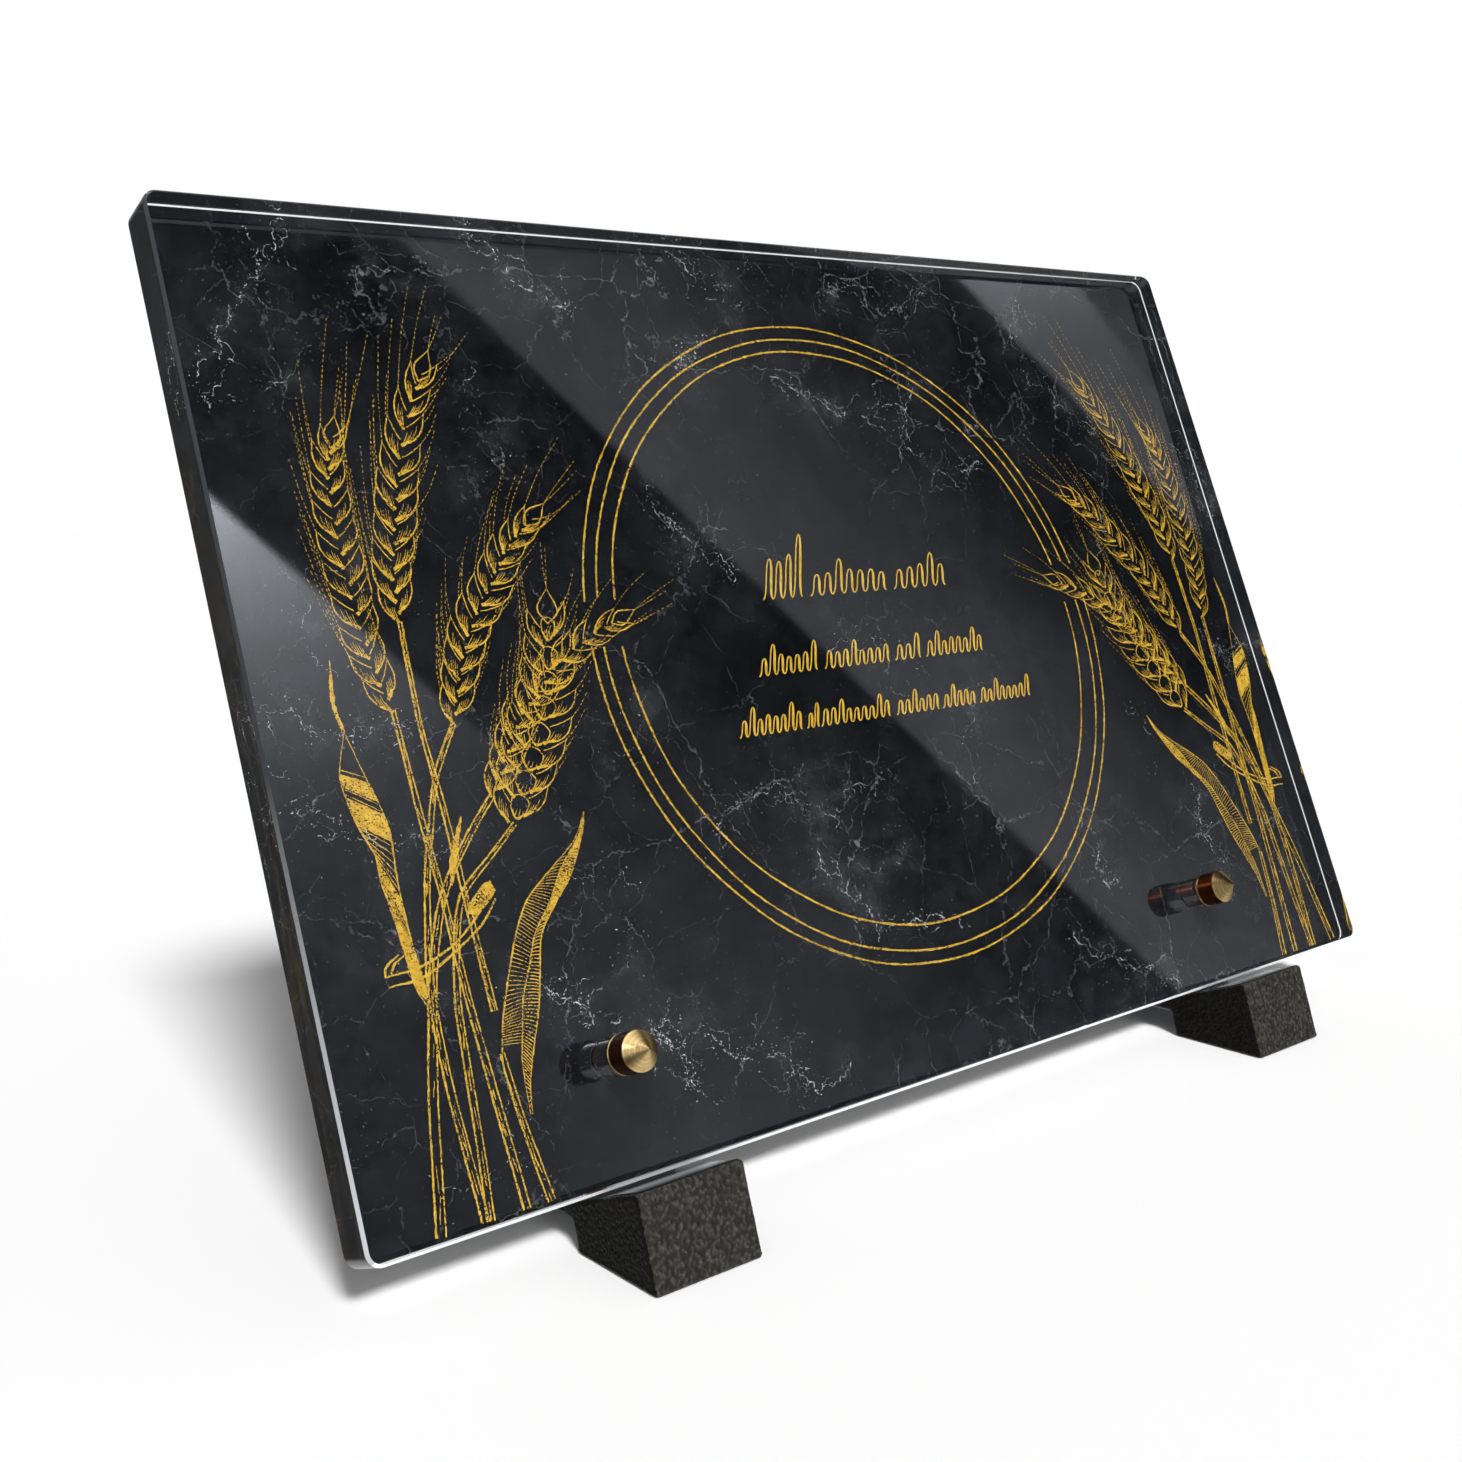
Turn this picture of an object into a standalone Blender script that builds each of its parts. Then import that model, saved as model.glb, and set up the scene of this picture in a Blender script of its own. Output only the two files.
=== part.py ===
# A memorial plaque for a grave: a clear plate with its picture printed on the back, leaning
# back on two stone feet, with a brass cone-headed screw through the plate into each foot.
# Metres, +Z up. The plaque faces -Y, its width runs along X, and it stands on Z = 0.
import math

import bmesh
import bpy
from mathutils import Matrix, Vector

# Plate
PLATE_WIDTH = 0.300
PLATE_HEIGHT = 0.200
PLATE_THICKNESS = 0.010
CORNER_RADIUS = 0.003
EDGE_CHAMFER = 0.0005
LEAN_BACK = math.radians(20.4)
PLATE_RISE = 0.0140  # the front bottom edge above the ground

# Screws
SCREW_SPACING = 0.183
SCREW_RISE = 0.0232  # up the plate, from its bottom edge to the screws
HEAD_DIAMETER = 0.0082
HEAD_HEIGHT = 0.0056
CONE_HEIGHT = 0.0034
GROOVE_RISE = 0.0006  # from the head's base to the groove round it
GROOVE_WIDTH = 0.0004
GROOVE_DEPTH = 0.00025
RIM_CHAMFER = 0.00015
SHANK_DIAMETER = 0.0066
THREAD_DIAMETER = 0.0050
THREAD_LENGTH = 0.0130

# Feet
FOOT_WIDTH = 0.0251
TOE_DEPTH = 0.0128  # in front of the plate
TOE_SLOPE = math.radians(16.3)  # the toe's face, from upright
FRONT_PAD_LENGTH = 0.0254
RELIEF_LENGTH = 0.0280
REAR_PAD_LENGTH = 0.0300
RELIEF_HEIGHT = 0.0061
RELIEF_DRAFT = 0.0015
SEAT_ABOVE_SCREW = 0.0100
TOP_LAND = 0.0090
REAR_HEIGHT = 0.0150
FOOT_ROUNDING = 0.0009

# Fits
SEAT_GAP = 0.0003  # the feet behind the plate
TOE_GAP = 0.0005  # the feet under the plate
HEAD_GAP = 0.0003
SHANK_GAP = 0.0003
THREAD_GAP = 0.0003

# Facets
CORNER_SEGMENTS = 6
ROUNDING_SEGMENTS = 2
ROUND_STEPS = 48

SHARP_EDGE = math.radians(40)  # a plate's edge this sharp is chamfered, a screw's stays crisp
FOOT_EDGE = math.radians(10)  # a foot's edge this sharp is rounded
MERGE = 0.00001
CUT_OVERRUN = 0.002


def clear_scene():
    for obj in list(bpy.data.objects):
        bpy.data.objects.remove(obj, do_unlink=True)


def new_collection(name):
    collection = bpy.data.collections.new(name)
    bpy.context.scene.collection.children.link(collection)
    return collection


def new_material(name, color, roughness, metallic):
    material = bpy.data.materials.new(name)
    material.use_nodes = True
    shader = material.node_tree.nodes["Principled BSDF"]
    shader.inputs["Base Color"].default_value = (*color, 1.0)
    shader.inputs["Roughness"].default_value = roughness
    shader.inputs["Metallic"].default_value = metallic
    material.diffuse_color = (*color, 1.0)
    return material


def add_object(name, mesh, collection, material=None):
    obj = bpy.data.objects.new(name, mesh)
    collection.objects.link(obj)
    if material:
        mesh.materials.append(material)
    return obj


def cut(obj, cutter):
    modifier = obj.modifiers.new("cut_" + cutter.name, "BOOLEAN")
    modifier.operation = "DIFFERENCE"
    modifier.solver = "EXACT"
    modifier.object = cutter


def mesh_of(guide, name):
    """The evaluated mesh of a guide object, in world space. The guide is removed."""
    bpy.context.view_layer.update()
    graph = bpy.context.evaluated_depsgraph_get()
    mesh = bpy.data.meshes.new_from_object(guide.evaluated_get(graph))
    mesh.name = name
    mesh.transform(guide.matrix_world)
    bpy.data.objects.remove(guide, do_unlink=True)
    return mesh


def outline_block(name, points, width, collection):
    """A filled outline given as (back, up) points, as a mesh block of this width across X."""
    curve = bpy.data.curves.new(name + "_outline", "CURVE")
    curve.dimensions = "2D"
    curve.fill_mode = "BOTH"
    curve.extrude = width / 2
    spline = curve.splines.new("POLY")
    spline.points.add(len(points) - 1)
    for point, (back, up) in zip(spline.points, points):
        point.co = (back, up, 0, 1)
    spline.use_cyclic_u = True
    guide = bpy.data.objects.new(name + "_outline", curve)
    collection.objects.link(guide)
    guide.rotation_euler = (math.pi / 2, 0, math.pi / 2)
    mesh = mesh_of(guide, name)
    work = bmesh.new()
    work.from_mesh(mesh)
    bmesh.ops.remove_doubles(work, verts=work.verts, dist=MERGE)
    bmesh.ops.dissolve_limit(work, angle_limit=math.radians(1), verts=work.verts, edges=work.edges)
    bmesh.ops.recalc_face_normals(work, faces=work.faces)
    work.to_mesh(mesh)
    work.free()
    return mesh


def round_bar(name, radius, near, far, collection):
    """A cutter: a bar square to the plate, between two depths behind the plate's face."""
    mesh = bpy.data.meshes.new(name)
    work = bmesh.new()
    along_depth = Matrix.Rotation(-math.pi / 2, 4, "X")
    place = Matrix.Translation((0, (near + far) / 2, 0)) @ along_depth
    bmesh.ops.create_cone(
        work,
        cap_ends=True,
        segments=ROUND_STEPS,
        radius1=radius,
        radius2=radius,
        depth=far - near,
        matrix=place,
    )
    work.to_mesh(mesh)
    work.free()
    cutter = add_object(name, mesh, collection)
    cutter.hide_render = True
    cutter.display_type = "WIRE"
    return cutter


def make_plate(frame, parts, material):
    """A slab with rounded corners and a polished chamfer round both faces."""
    bpy.ops.mesh.primitive_cube_add(size=1)
    plate = bpy.context.active_object
    plate.name = "plate"
    plate.data.name = "plate"
    size = Vector((PLATE_WIDTH, PLATE_THICKNESS, PLATE_HEIGHT))
    middle = Vector((0, PLATE_THICKNESS / 2, PLATE_HEIGHT / 2))
    plate.data.transform(Matrix.Translation(middle) @ Matrix.Diagonal(size).to_4x4())
    for collection in list(plate.users_collection):
        collection.objects.unlink(plate)
    parts.objects.link(plate)
    plate.data.materials.append(material)
    plate.parent = frame

    weights = plate.data.attributes.new("bevel_weight_edge", "FLOAT", "EDGE")
    for edge in plate.data.edges:
        start, end = (plate.data.vertices[index].co for index in edge.vertices)
        runs_through = abs(start.y - end.y) > PLATE_THICKNESS / 2
        weights.data[edge.index].value = 1.0 if runs_through else 0.0
    corners = plate.modifiers.new("corners", "BEVEL")
    corners.limit_method = "WEIGHT"
    corners.width = CORNER_RADIUS
    corners.segments = CORNER_SEGMENTS
    chamfer = plate.modifiers.new("chamfer", "BEVEL")
    chamfer.limit_method = "ANGLE"
    chamfer.angle_limit = SHARP_EDGE
    chamfer.width = EDGE_CHAMFER
    chamfer.segments = 1
    return plate


def screw_profile():
    """(radius, depth) down the outer side, from the cone's point to the thread's end."""
    head = HEAD_DIAMETER / 2
    base = -HEAD_GAP
    groove = base - GROOVE_RISE
    rim = base - HEAD_HEIGHT
    shank = SHANK_DIAMETER / 2
    thread = THREAD_DIAMETER / 2
    shank_end = PLATE_THICKNESS
    thread_end = PLATE_THICKNESS + SEAT_GAP + THREAD_LENGTH
    return [
        (0, rim - CONE_HEIGHT),
        (head - RIM_CHAMFER, rim),
        (head, rim + RIM_CHAMFER),
        (head, groove - GROOVE_WIDTH / 2),
        (head - GROOVE_DEPTH, groove),
        (head, groove + GROOVE_WIDTH / 2),
        (head, base - RIM_CHAMFER),
        (head - RIM_CHAMFER, base),
        (shank, base),
        (shank, shank_end),
        (thread, shank_end),
        (thread, thread_end),
        (0, thread_end),
    ]


def make_screw(name, frame, side, parts, cutters, material):
    """A turned screw, its axis square to the plate and its point to the front."""
    outline = bpy.data.meshes.new(name + "_outline")
    work = bmesh.new()
    rows = [work.verts.new((radius, 0, -depth)) for radius, depth in screw_profile()]
    for upper, lower in zip(rows, rows[1:]):
        work.edges.new((upper, lower))
    work.to_mesh(outline)
    work.free()
    guide = add_object(name + "_outline", outline, cutters)
    turn = guide.modifiers.new("turn", "SCREW")
    turn.steps = ROUND_STEPS
    turn.render_steps = ROUND_STEPS
    turn.use_merge_vertices = True
    turn.merge_threshold = MERGE
    mesh = mesh_of(guide, name)
    mesh.shade_smooth()
    mesh.set_sharp_from_angle(angle=SHARP_EDGE)
    screw = add_object(name, mesh, parts, material)
    screw.parent = frame
    screw.location = (side * SCREW_SPACING / 2, 0, SCREW_RISE)
    screw.rotation_euler = (math.pi / 2, 0, 0)
    return screw


def foot_outline():
    """(back, up) points of a foot's side, from the toe's front bottom edge upwards."""

    def on_plate(depth, rise):
        back = depth * math.cos(LEAN_BACK) + rise * math.sin(LEAN_BACK)
        up = PLATE_RISE - depth * math.sin(LEAN_BACK) + rise * math.cos(LEAN_BACK)
        return back, up

    seat = PLATE_THICKNESS + SEAT_GAP
    toe_back, toe_up = on_plate(-TOE_DEPTH, -TOE_GAP)
    top_back, top_up = on_plate(seat, SCREW_RISE + SEAT_ABOVE_SCREW)
    front = toe_back - toe_up * math.tan(TOE_SLOPE)
    relief_start = front + FRONT_PAD_LENGTH
    relief_end = relief_start + RELIEF_LENGTH
    rear = relief_end + REAR_PAD_LENGTH
    return [
        (front, 0),
        (toe_back, toe_up),
        on_plate(seat, -TOE_GAP),
        (top_back, top_up),
        (top_back + TOP_LAND, top_up),
        (rear, REAR_HEIGHT),
        (rear, 0),
        (relief_end, 0),
        (relief_end - RELIEF_DRAFT, RELIEF_HEIGHT),
        (relief_start + RELIEF_DRAFT, RELIEF_HEIGHT),
        (relief_start, 0),
    ]


def make_foot(name, stand, side, parts, cutters, material):
    """A stone foot: a toe under the plate, a seat behind it, and two pads on the ground."""
    mesh = outline_block(name, foot_outline(), FOOT_WIDTH, cutters)
    foot = add_object(name, mesh, parts, material)
    foot.parent = stand
    foot.location = (side * SCREW_SPACING / 2, 0, 0)
    rounding = foot.modifiers.new("rounding", "BEVEL")
    rounding.limit_method = "ANGLE"
    rounding.angle_limit = FOOT_EDGE
    rounding.width = FOOT_ROUNDING
    rounding.segments = ROUNDING_SEGMENTS
    return foot


def box_of(objects):
    """Lowest and highest corners of these objects as they are evaluated."""
    bpy.context.view_layer.update()
    graph = bpy.context.evaluated_depsgraph_get()
    points = []
    for obj in objects:
        shown = obj.evaluated_get(graph)
        mesh = shown.to_mesh()
        points += [shown.matrix_world @ vertex.co for vertex in mesh.vertices]
        shown.to_mesh_clear()
    low = Vector(min(point[axis] for point in points) for axis in range(3))
    high = Vector(max(point[axis] for point in points) for axis in range(3))
    return low, high


def build():
    clear_scene()
    parts = new_collection("memorial_plaque")
    cutters = new_collection("cutters")
    plate_finish = new_material("plate_print", (0.012, 0.013, 0.015), 0.05, 0.0)
    stone_finish = new_material("stone", (0.05, 0.05, 0.045), 0.8, 0.0)
    brass_finish = new_material("brass", (0.62, 0.44, 0.16), 0.25, 1.0)

    stand = bpy.data.objects.new("stand", None)
    parts.objects.link(stand)
    frame = bpy.data.objects.new("plate_frame", None)
    parts.objects.link(frame)
    frame.parent = stand
    frame.location = (0, 0, PLATE_RISE)
    frame.rotation_euler = (-LEAN_BACK, 0, 0)

    plate = make_plate(frame, parts, plate_finish)
    pieces = [plate]
    for side, word in ((-1, "left"), (1, "right")):
        foot = make_foot("foot_" + word, stand, side, parts, cutters, stone_finish)
        screw = make_screw("screw_" + word, frame, side, parts, cutters, brass_finish)
        hole = round_bar(
            "hole_" + word,
            SHANK_DIAMETER / 2 + SHANK_GAP,
            -CUT_OVERRUN,
            PLATE_THICKNESS + CUT_OVERRUN,
            cutters,
        )
        bore = round_bar(
            "bore_" + word,
            THREAD_DIAMETER / 2 + THREAD_GAP,
            PLATE_THICKNESS - CUT_OVERRUN,
            PLATE_THICKNESS + SEAT_GAP + THREAD_LENGTH + THREAD_GAP,
            cutters,
        )
        for cutter in (hole, bore):
            cutter.parent = frame
            cutter.location = (side * SCREW_SPACING / 2, 0, SCREW_RISE)
        cut(plate, hole)
        cut(foot, bore)
        pieces += [foot, screw]

    low, high = box_of(pieces)
    stand.location = (0, -(low.y + high.y) / 2, -low.z)
    bpy.context.view_layer.update()


build()
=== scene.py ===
import math
import random

import bmesh
import bpy
from mathutils import Matrix, Vector
from mathutils.kdtree import KDTree


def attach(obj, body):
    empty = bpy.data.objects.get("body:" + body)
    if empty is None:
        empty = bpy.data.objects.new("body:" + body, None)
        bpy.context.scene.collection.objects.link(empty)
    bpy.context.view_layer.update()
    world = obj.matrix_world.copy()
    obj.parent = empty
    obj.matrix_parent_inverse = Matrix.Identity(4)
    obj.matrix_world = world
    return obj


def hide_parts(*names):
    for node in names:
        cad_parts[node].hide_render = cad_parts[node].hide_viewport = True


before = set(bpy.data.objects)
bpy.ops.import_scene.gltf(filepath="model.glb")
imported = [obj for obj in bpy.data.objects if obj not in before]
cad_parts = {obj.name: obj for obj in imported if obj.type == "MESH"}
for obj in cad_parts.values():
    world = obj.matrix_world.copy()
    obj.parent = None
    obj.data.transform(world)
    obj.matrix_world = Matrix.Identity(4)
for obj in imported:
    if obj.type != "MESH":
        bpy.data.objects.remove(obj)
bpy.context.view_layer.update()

mm = 0.001
weldGap = 0.00001


# Small helpers for selecting, applying and measuring

def deselectAll():
    if bpy.context.mode != "OBJECT":
        bpy.ops.object.mode_set(mode="OBJECT")
    bpy.ops.object.select_all(action="DESELECT")


def makeActive(piece):
    deselectAll()
    piece.select_set(True)
    bpy.context.view_layer.objects.active = piece


def selectWhere(piece, kind, test):
    # goes to edit mode with only the parts selected for which test is true
    makeActive(piece)
    bpy.ops.object.mode_set(mode="EDIT")
    bpy.ops.mesh.select_mode(type=kind)
    bpy.ops.mesh.select_all(action="DESELECT")
    work = bmesh.from_edit_mesh(piece.data)
    parts = {"VERT": work.verts, "EDGE": work.edges, "FACE": work.faces}[kind]
    for part in parts:
        if test(part):
            part.select_set(True)
    work.select_flush_mode()
    bmesh.update_edit_mesh(piece.data)


def applyModifier(piece, kind, **settings):
    makeActive(piece)
    modifier = piece.modifiers.new(kind.lower(), kind)
    for name, value in settings.items():
        setattr(modifier, name, value)
    bpy.ops.object.modifier_apply(modifier=modifier.name)


def boxIn(piece, matrix):
    points = [matrix @ vertex.co for vertex in piece.data.vertices]
    low = Vector([min(point[axis] for point in points) for axis in range(3)])
    high = Vector([max(point[axis] for point in points) for axis in range(3)])
    return low, high


def finishPiece(piece, slotName, *nodes):
    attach(piece, "root")
    if nodes:
        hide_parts(*nodes)


# Plate space: x across the plate, y up it, z out of its front face, in metres

plateLook = {
    "lean": math.radians(20.4),
    "cornerRadius": 0.0030,
    "chamfer": 0.0006,
    "cornerSteps": 10,
    "rim": 0.00034,            # clear edge round the print
    "printDepth": 0.0096,      # the print, behind the front face
    "printThickness": 0.0002,
    "faceLift": 0.00001,       # the print's patterned face, in front of the print
    "holeRadius": 0.0036,
    "printHoleRadius": 0.0039,
    "holeSteps": 96,
    "drillLength": 0.05,
}
smoothAngle = math.radians(25)     # sharper edges than this stay sharp

plateTurn = Matrix.Rotation(math.radians(90) - plateLook["lean"], 4, "X")
plateLow, plateHigh = boxIn(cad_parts["plate"], plateTurn.inverted())
plateWidth = plateHigh.x - plateLow.x
plateHeight = plateHigh.y - plateLow.y
plateThickness = plateHigh.z - plateLow.z
plateToRow = plateTurn @ Matrix.Translation((0, plateLow.y, plateHigh.z))
rowToPlate = plateToRow.inverted()

screwPlaces = {}
for screwName in ("screw_left", "screw_right"):
    screwLow, screwHigh = boxIn(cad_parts[screwName], rowToPlate)
    screwPlaces[screwName] = (screwLow, screwHigh)


def placeOnPlate(piece):
    piece.data.transform(plateToRow)
    piece.data.update()


print("plate space:", round(plateWidth, 4), round(plateHeight, 4), round(plateThickness, 4))


# Node helpers

def setInputs(node, inputs):
    # each input gets another node's output or a plain value
    for name, value in inputs.items():
        if isinstance(value, bpy.types.NodeSocket):
            node.id_data.links.new(value, node.inputs[name])
        else:
            node.inputs[name].default_value = value


def addNode(tree, kind, inputs=None, **settings):
    node = tree.nodes.new("ShaderNode" + kind)
    for name, value in settings.items():
        setattr(node, name, value)
    setInputs(node, inputs or {})
    return node


def noise(tree, vector, scale, detail=4.0, roughness=0.55):
    inputs = {"Vector": vector, "Scale": scale, "Detail": detail, "Roughness": roughness}
    return addNode(tree, "TexNoise", inputs).outputs["Fac"]


def math2(tree, operation, first, second=0.0, clamp=False):
    return addNode(tree, "Math", {0: first, 1: second}, operation=operation, use_clamp=clamp).outputs[0]


def times(tree, first, second, clamp=False):
    return math2(tree, "MULTIPLY", first, second, clamp)


def plus(tree, first, second, clamp=False):
    return math2(tree, "ADD", first, second, clamp)


def minus(tree, first, second):
    return math2(tree, "SUBTRACT", first, second)


def vectorMath(tree, operation, first, second, result="Vector"):
    return addNode(tree, "VectorMath", {0: first, 1: second}, operation=operation).outputs[result]


def scaleVector(tree, vector, factor):
    return addNode(tree, "VectorMath", {0: vector, "Scale": factor}, operation="SCALE").outputs["Vector"]


def between(tree, value, low, high, outLow=0.0, outHigh=1.0):
    # a smooth step from outLow to outHigh as value goes from low to high
    inputs = {"Value": value, "From Min": low, "From Max": high, "To Min": outLow, "To Max": outHigh}
    return addNode(tree, "MapRange", inputs, interpolation_type="SMOOTHSTEP").outputs[0]


def clouds(tree, point, look, outLow=0.0, outHigh=1.0):
    # soft patches; look is the noise's scale, detail and roughness, and the levels between which they fade in
    scale, detail, roughness, low, high = look
    return between(tree, noise(tree, point, scale, detail, roughness), low, high, outLow, outHigh)


def mixColour(tree, factor, first, second, blend="MIX"):
    node = addNode(tree, "Mix", {0: factor, 6: first, 7: second}, data_type="RGBA", blend_type=blend)
    return node.outputs[2]


def mixValue(tree, factor, first, second):
    return addNode(tree, "Mix", {0: factor, 2: first, 3: second}, data_type="FLOAT").outputs[0]


def objectPoint(tree):
    return addNode(tree, "TexCoord").outputs["Object"]


def newGroup(name, inputs, outputs):
    group = bpy.data.node_groups.new(name, "ShaderNodeTree")
    for socketName, kind, value in inputs:
        socket = group.interface.new_socket(socketName, in_out="INPUT", socket_type=kind)
        if value is not None:
            socket.default_value = value
    for socketName, kind in outputs:
        group.interface.new_socket(socketName, in_out="OUTPUT", socket_type=kind)
    start = group.nodes.new("NodeGroupInput")
    end = group.nodes.new("NodeGroupOutput")
    return group, start.outputs, end.inputs


def useGroup(tree, group, inputs):
    node = tree.nodes.new("ShaderNodeGroup")
    node.node_tree = group
    setInputs(node, inputs)
    return node.outputs


def newMaterial(name, roughness=0.5, metallic=0.0, gloss=0.5):
    material = bpy.data.materials.new(name)
    material.use_nodes = True
    tree = material.node_tree
    shader = tree.nodes["Principled BSDF"]
    setInputs(shader, {"Roughness": roughness, "Metallic": metallic, "Specular IOR Level": gloss})
    return material, tree, shader


# The printed marble, shared by the print and by the gaps in the ink

printGloss = 0.02          # roughness of the smooth sheet that the picture is printed on

marbleLook = {
    "dark": (0.0024, 0.0029, 0.0038, 1),
    "pale": (0.0082, 0.0094, 0.0114, 1),
    "hazed": (0.030, 0.033, 0.036, 1),
    "hairline": (0.130, 0.137, 0.145, 1),
    "salted": (0.16, 0.165, 0.17, 1),
    # patches, as the function clouds reads them
    "cloud": (13.0, 6.0, 0.62, 0.36, 0.68),
    "mottle": (170.0, 7.0, 0.72, 0.30, 0.72),
    "mottleTone": (0.62, 1.75),
    "haze": (60.0, 9.0, 0.72, 0.44, 0.72),
    "crackPatches": (17.0, 4.0, 0.55, 0.40, 0.64),
    "crackBreaks": (420.0, 5.0, 0.7, 0.40, 0.60),
    "salt": (1500.0, 2.0, 0.55, 0.68, 0.77),
    "saltPatches": (38.0, 4.0, 0.55, 0.46, 0.66),
    # cracks: cells per metre, how far they are warped, the warp's scale, line width in cells
    "crack": (21.0, 0.024, 36.0, 0.0050),
    "fineCrack": (56.0, 0.011, 90.0, 0.0085),
    "cell": 0.00115,           # grid of the face that knows how near the veins are
    "reach": 5.5,              # millimetres within which a vein frays
}


def crackLines(tree, point, scale, warp, warpScale, thickness):
    # thin crooked lines along the borders of warped cells
    swirl = addNode(tree, "TexNoise", {"Vector": point, "Scale": warpScale, "Detail": 9.0, "Roughness": 0.6})
    centred = vectorMath(tree, "SUBTRACT", swirl.outputs["Color"], (0.5, 0.5, 0.5))
    moved = vectorMath(tree, "ADD", point, scaleVector(tree, centred, warp))
    cells = addNode(tree, "TexVoronoi", {"Vector": moved, "Scale": scale}, feature="DISTANCE_TO_EDGE")
    return between(tree, cells.outputs["Distance"], 0.0, thickness, 1.0, 0.0)


def makeMarbleGround():
    sockets = [("Point", "NodeSocketVector", None), ("Near", "NodeSocketFloat", 0.0),
               ("Veining", "NodeSocketFloat", 1.0)]
    group, given, result = newGroup("marbleGround", sockets, [("Color", "NodeSocketColor")])
    point = given["Point"]
    near = given["Near"]
    look = marbleLook
    ground = mixColour(group, clouds(group, point, look["cloud"]), look["dark"], look["pale"])
    mottle = clouds(group, point, look["mottle"], *look["mottleTone"])
    ground = mixColour(group, 1.0, ground, mottle, "MULTIPLY")
    haze = times(group, clouds(group, point, look["haze"]), near)
    ground = mixColour(group, haze, ground, look["hazed"])
    where = plus(group, clouds(group, point, look["crackPatches"], 0.0, 0.8), near, clamp=True)
    wide = times(group, crackLines(group, point, *look["crack"]), 0.9)
    fine = times(group, crackLines(group, point, *look["fineCrack"]), 0.5)
    lines = times(group, plus(group, wide, fine), where)
    lines = times(group, lines, clouds(group, point, look["crackBreaks"]))
    lines = times(group, lines, given["Veining"], clamp=True)
    ground = mixColour(group, lines, ground, look["hairline"])
    where = plus(group, clouds(group, point, look["saltPatches"], 0.06, 0.5), near, clamp=True)
    salt = times(group, clouds(group, point, look["salt"]), where)
    group.links.new(mixColour(group, salt, ground, look["salted"]), result["Color"])
    return group


def makeInkGrain():
    # 1 where the ink took, 0 where a fleck of it is missing
    sockets = [("Point", "NodeSocketVector", None), ("Cover", "NodeSocketFloat", 0.5),
               ("Scale", "NodeSocketFloat", 2600.0)]
    group, given, result = newGroup("inkGrain", sockets, [("Mask", "NodeSocketFloat")])
    flecks = noise(group, given["Point"], given["Scale"], 3.0, 0.6)
    patches = clouds(group, given["Point"], (260.0, 3.0, 0.55, 0.35, 0.65), -0.05, 0.05)
    level = plus(group, flecks, patches)
    edge = minus(group, 1.0, given["Cover"])
    mask = times(group, minus(group, level, edge), 14.0)
    mask = plus(group, mask, 0.5, clamp=True)
    group.links.new(mask, result["Mask"])
    return group


marbleGround = makeMarbleGround()
inkGrain = makeInkGrain()


def marbleMaterial():
    material, tree, shader = newMaterial("printed_marble", printGloss)
    near = addNode(tree, "Attribute", attribute_name="near").outputs["Fac"]
    ground = useGroup(tree, marbleGround, {"Point": objectPoint(tree), "Near": near, "Veining": 1.0})
    setInputs(shader, {"Base Color": ground["Color"]})
    return material


backLook = {
    "dark": (0.008, 0.009, 0.010, 1),
    "pale": (0.014, 0.015, 0.017, 1),
    "streaks": (60.0, 6.0, 0.7, 0.35, 0.7),
    "roughness": 0.35,
}


def backMaterial():
    # dark lacquer behind the print, faintly streaked by the squeegee
    material, tree, shader = newMaterial("back_lacquer", backLook["roughness"])
    streaks = clouds(tree, objectPoint(tree), backLook["streaks"])
    setInputs(shader, {"Base Color": mixColour(tree, streaks, backLook["dark"], backLook["pale"])})
    return material


def inkMaterial(name, inkColour, paleColour, cover, scale):
    material, tree, shader = newMaterial(name, printGloss)
    point = objectPoint(tree)
    ground = useGroup(tree, marbleGround, {"Point": point, "Near": 0.2, "Veining": 0.4})
    grain = useGroup(tree, inkGrain, {"Point": point, "Cover": cover, "Scale": scale})
    tone = mixColour(tree, clouds(tree, point, (700.0, 3.0, 0.55, 0.35, 0.65)), inkColour, paleColour)
    setInputs(shader, {"Base Color": mixColour(tree, grain["Mask"], ground["Color"], tone)})
    return material


def clearMaterial():
    material, tree, shader = newMaterial("clear_acrylic", 0.0)
    setInputs(shader, {"Base Color": (0.985, 0.992, 0.995, 1), "IOR": 1.49, "Transmission Weight": 1.0})
    return material


print("shared shading groups ready")


# The clear plate and the print inside its back

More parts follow.
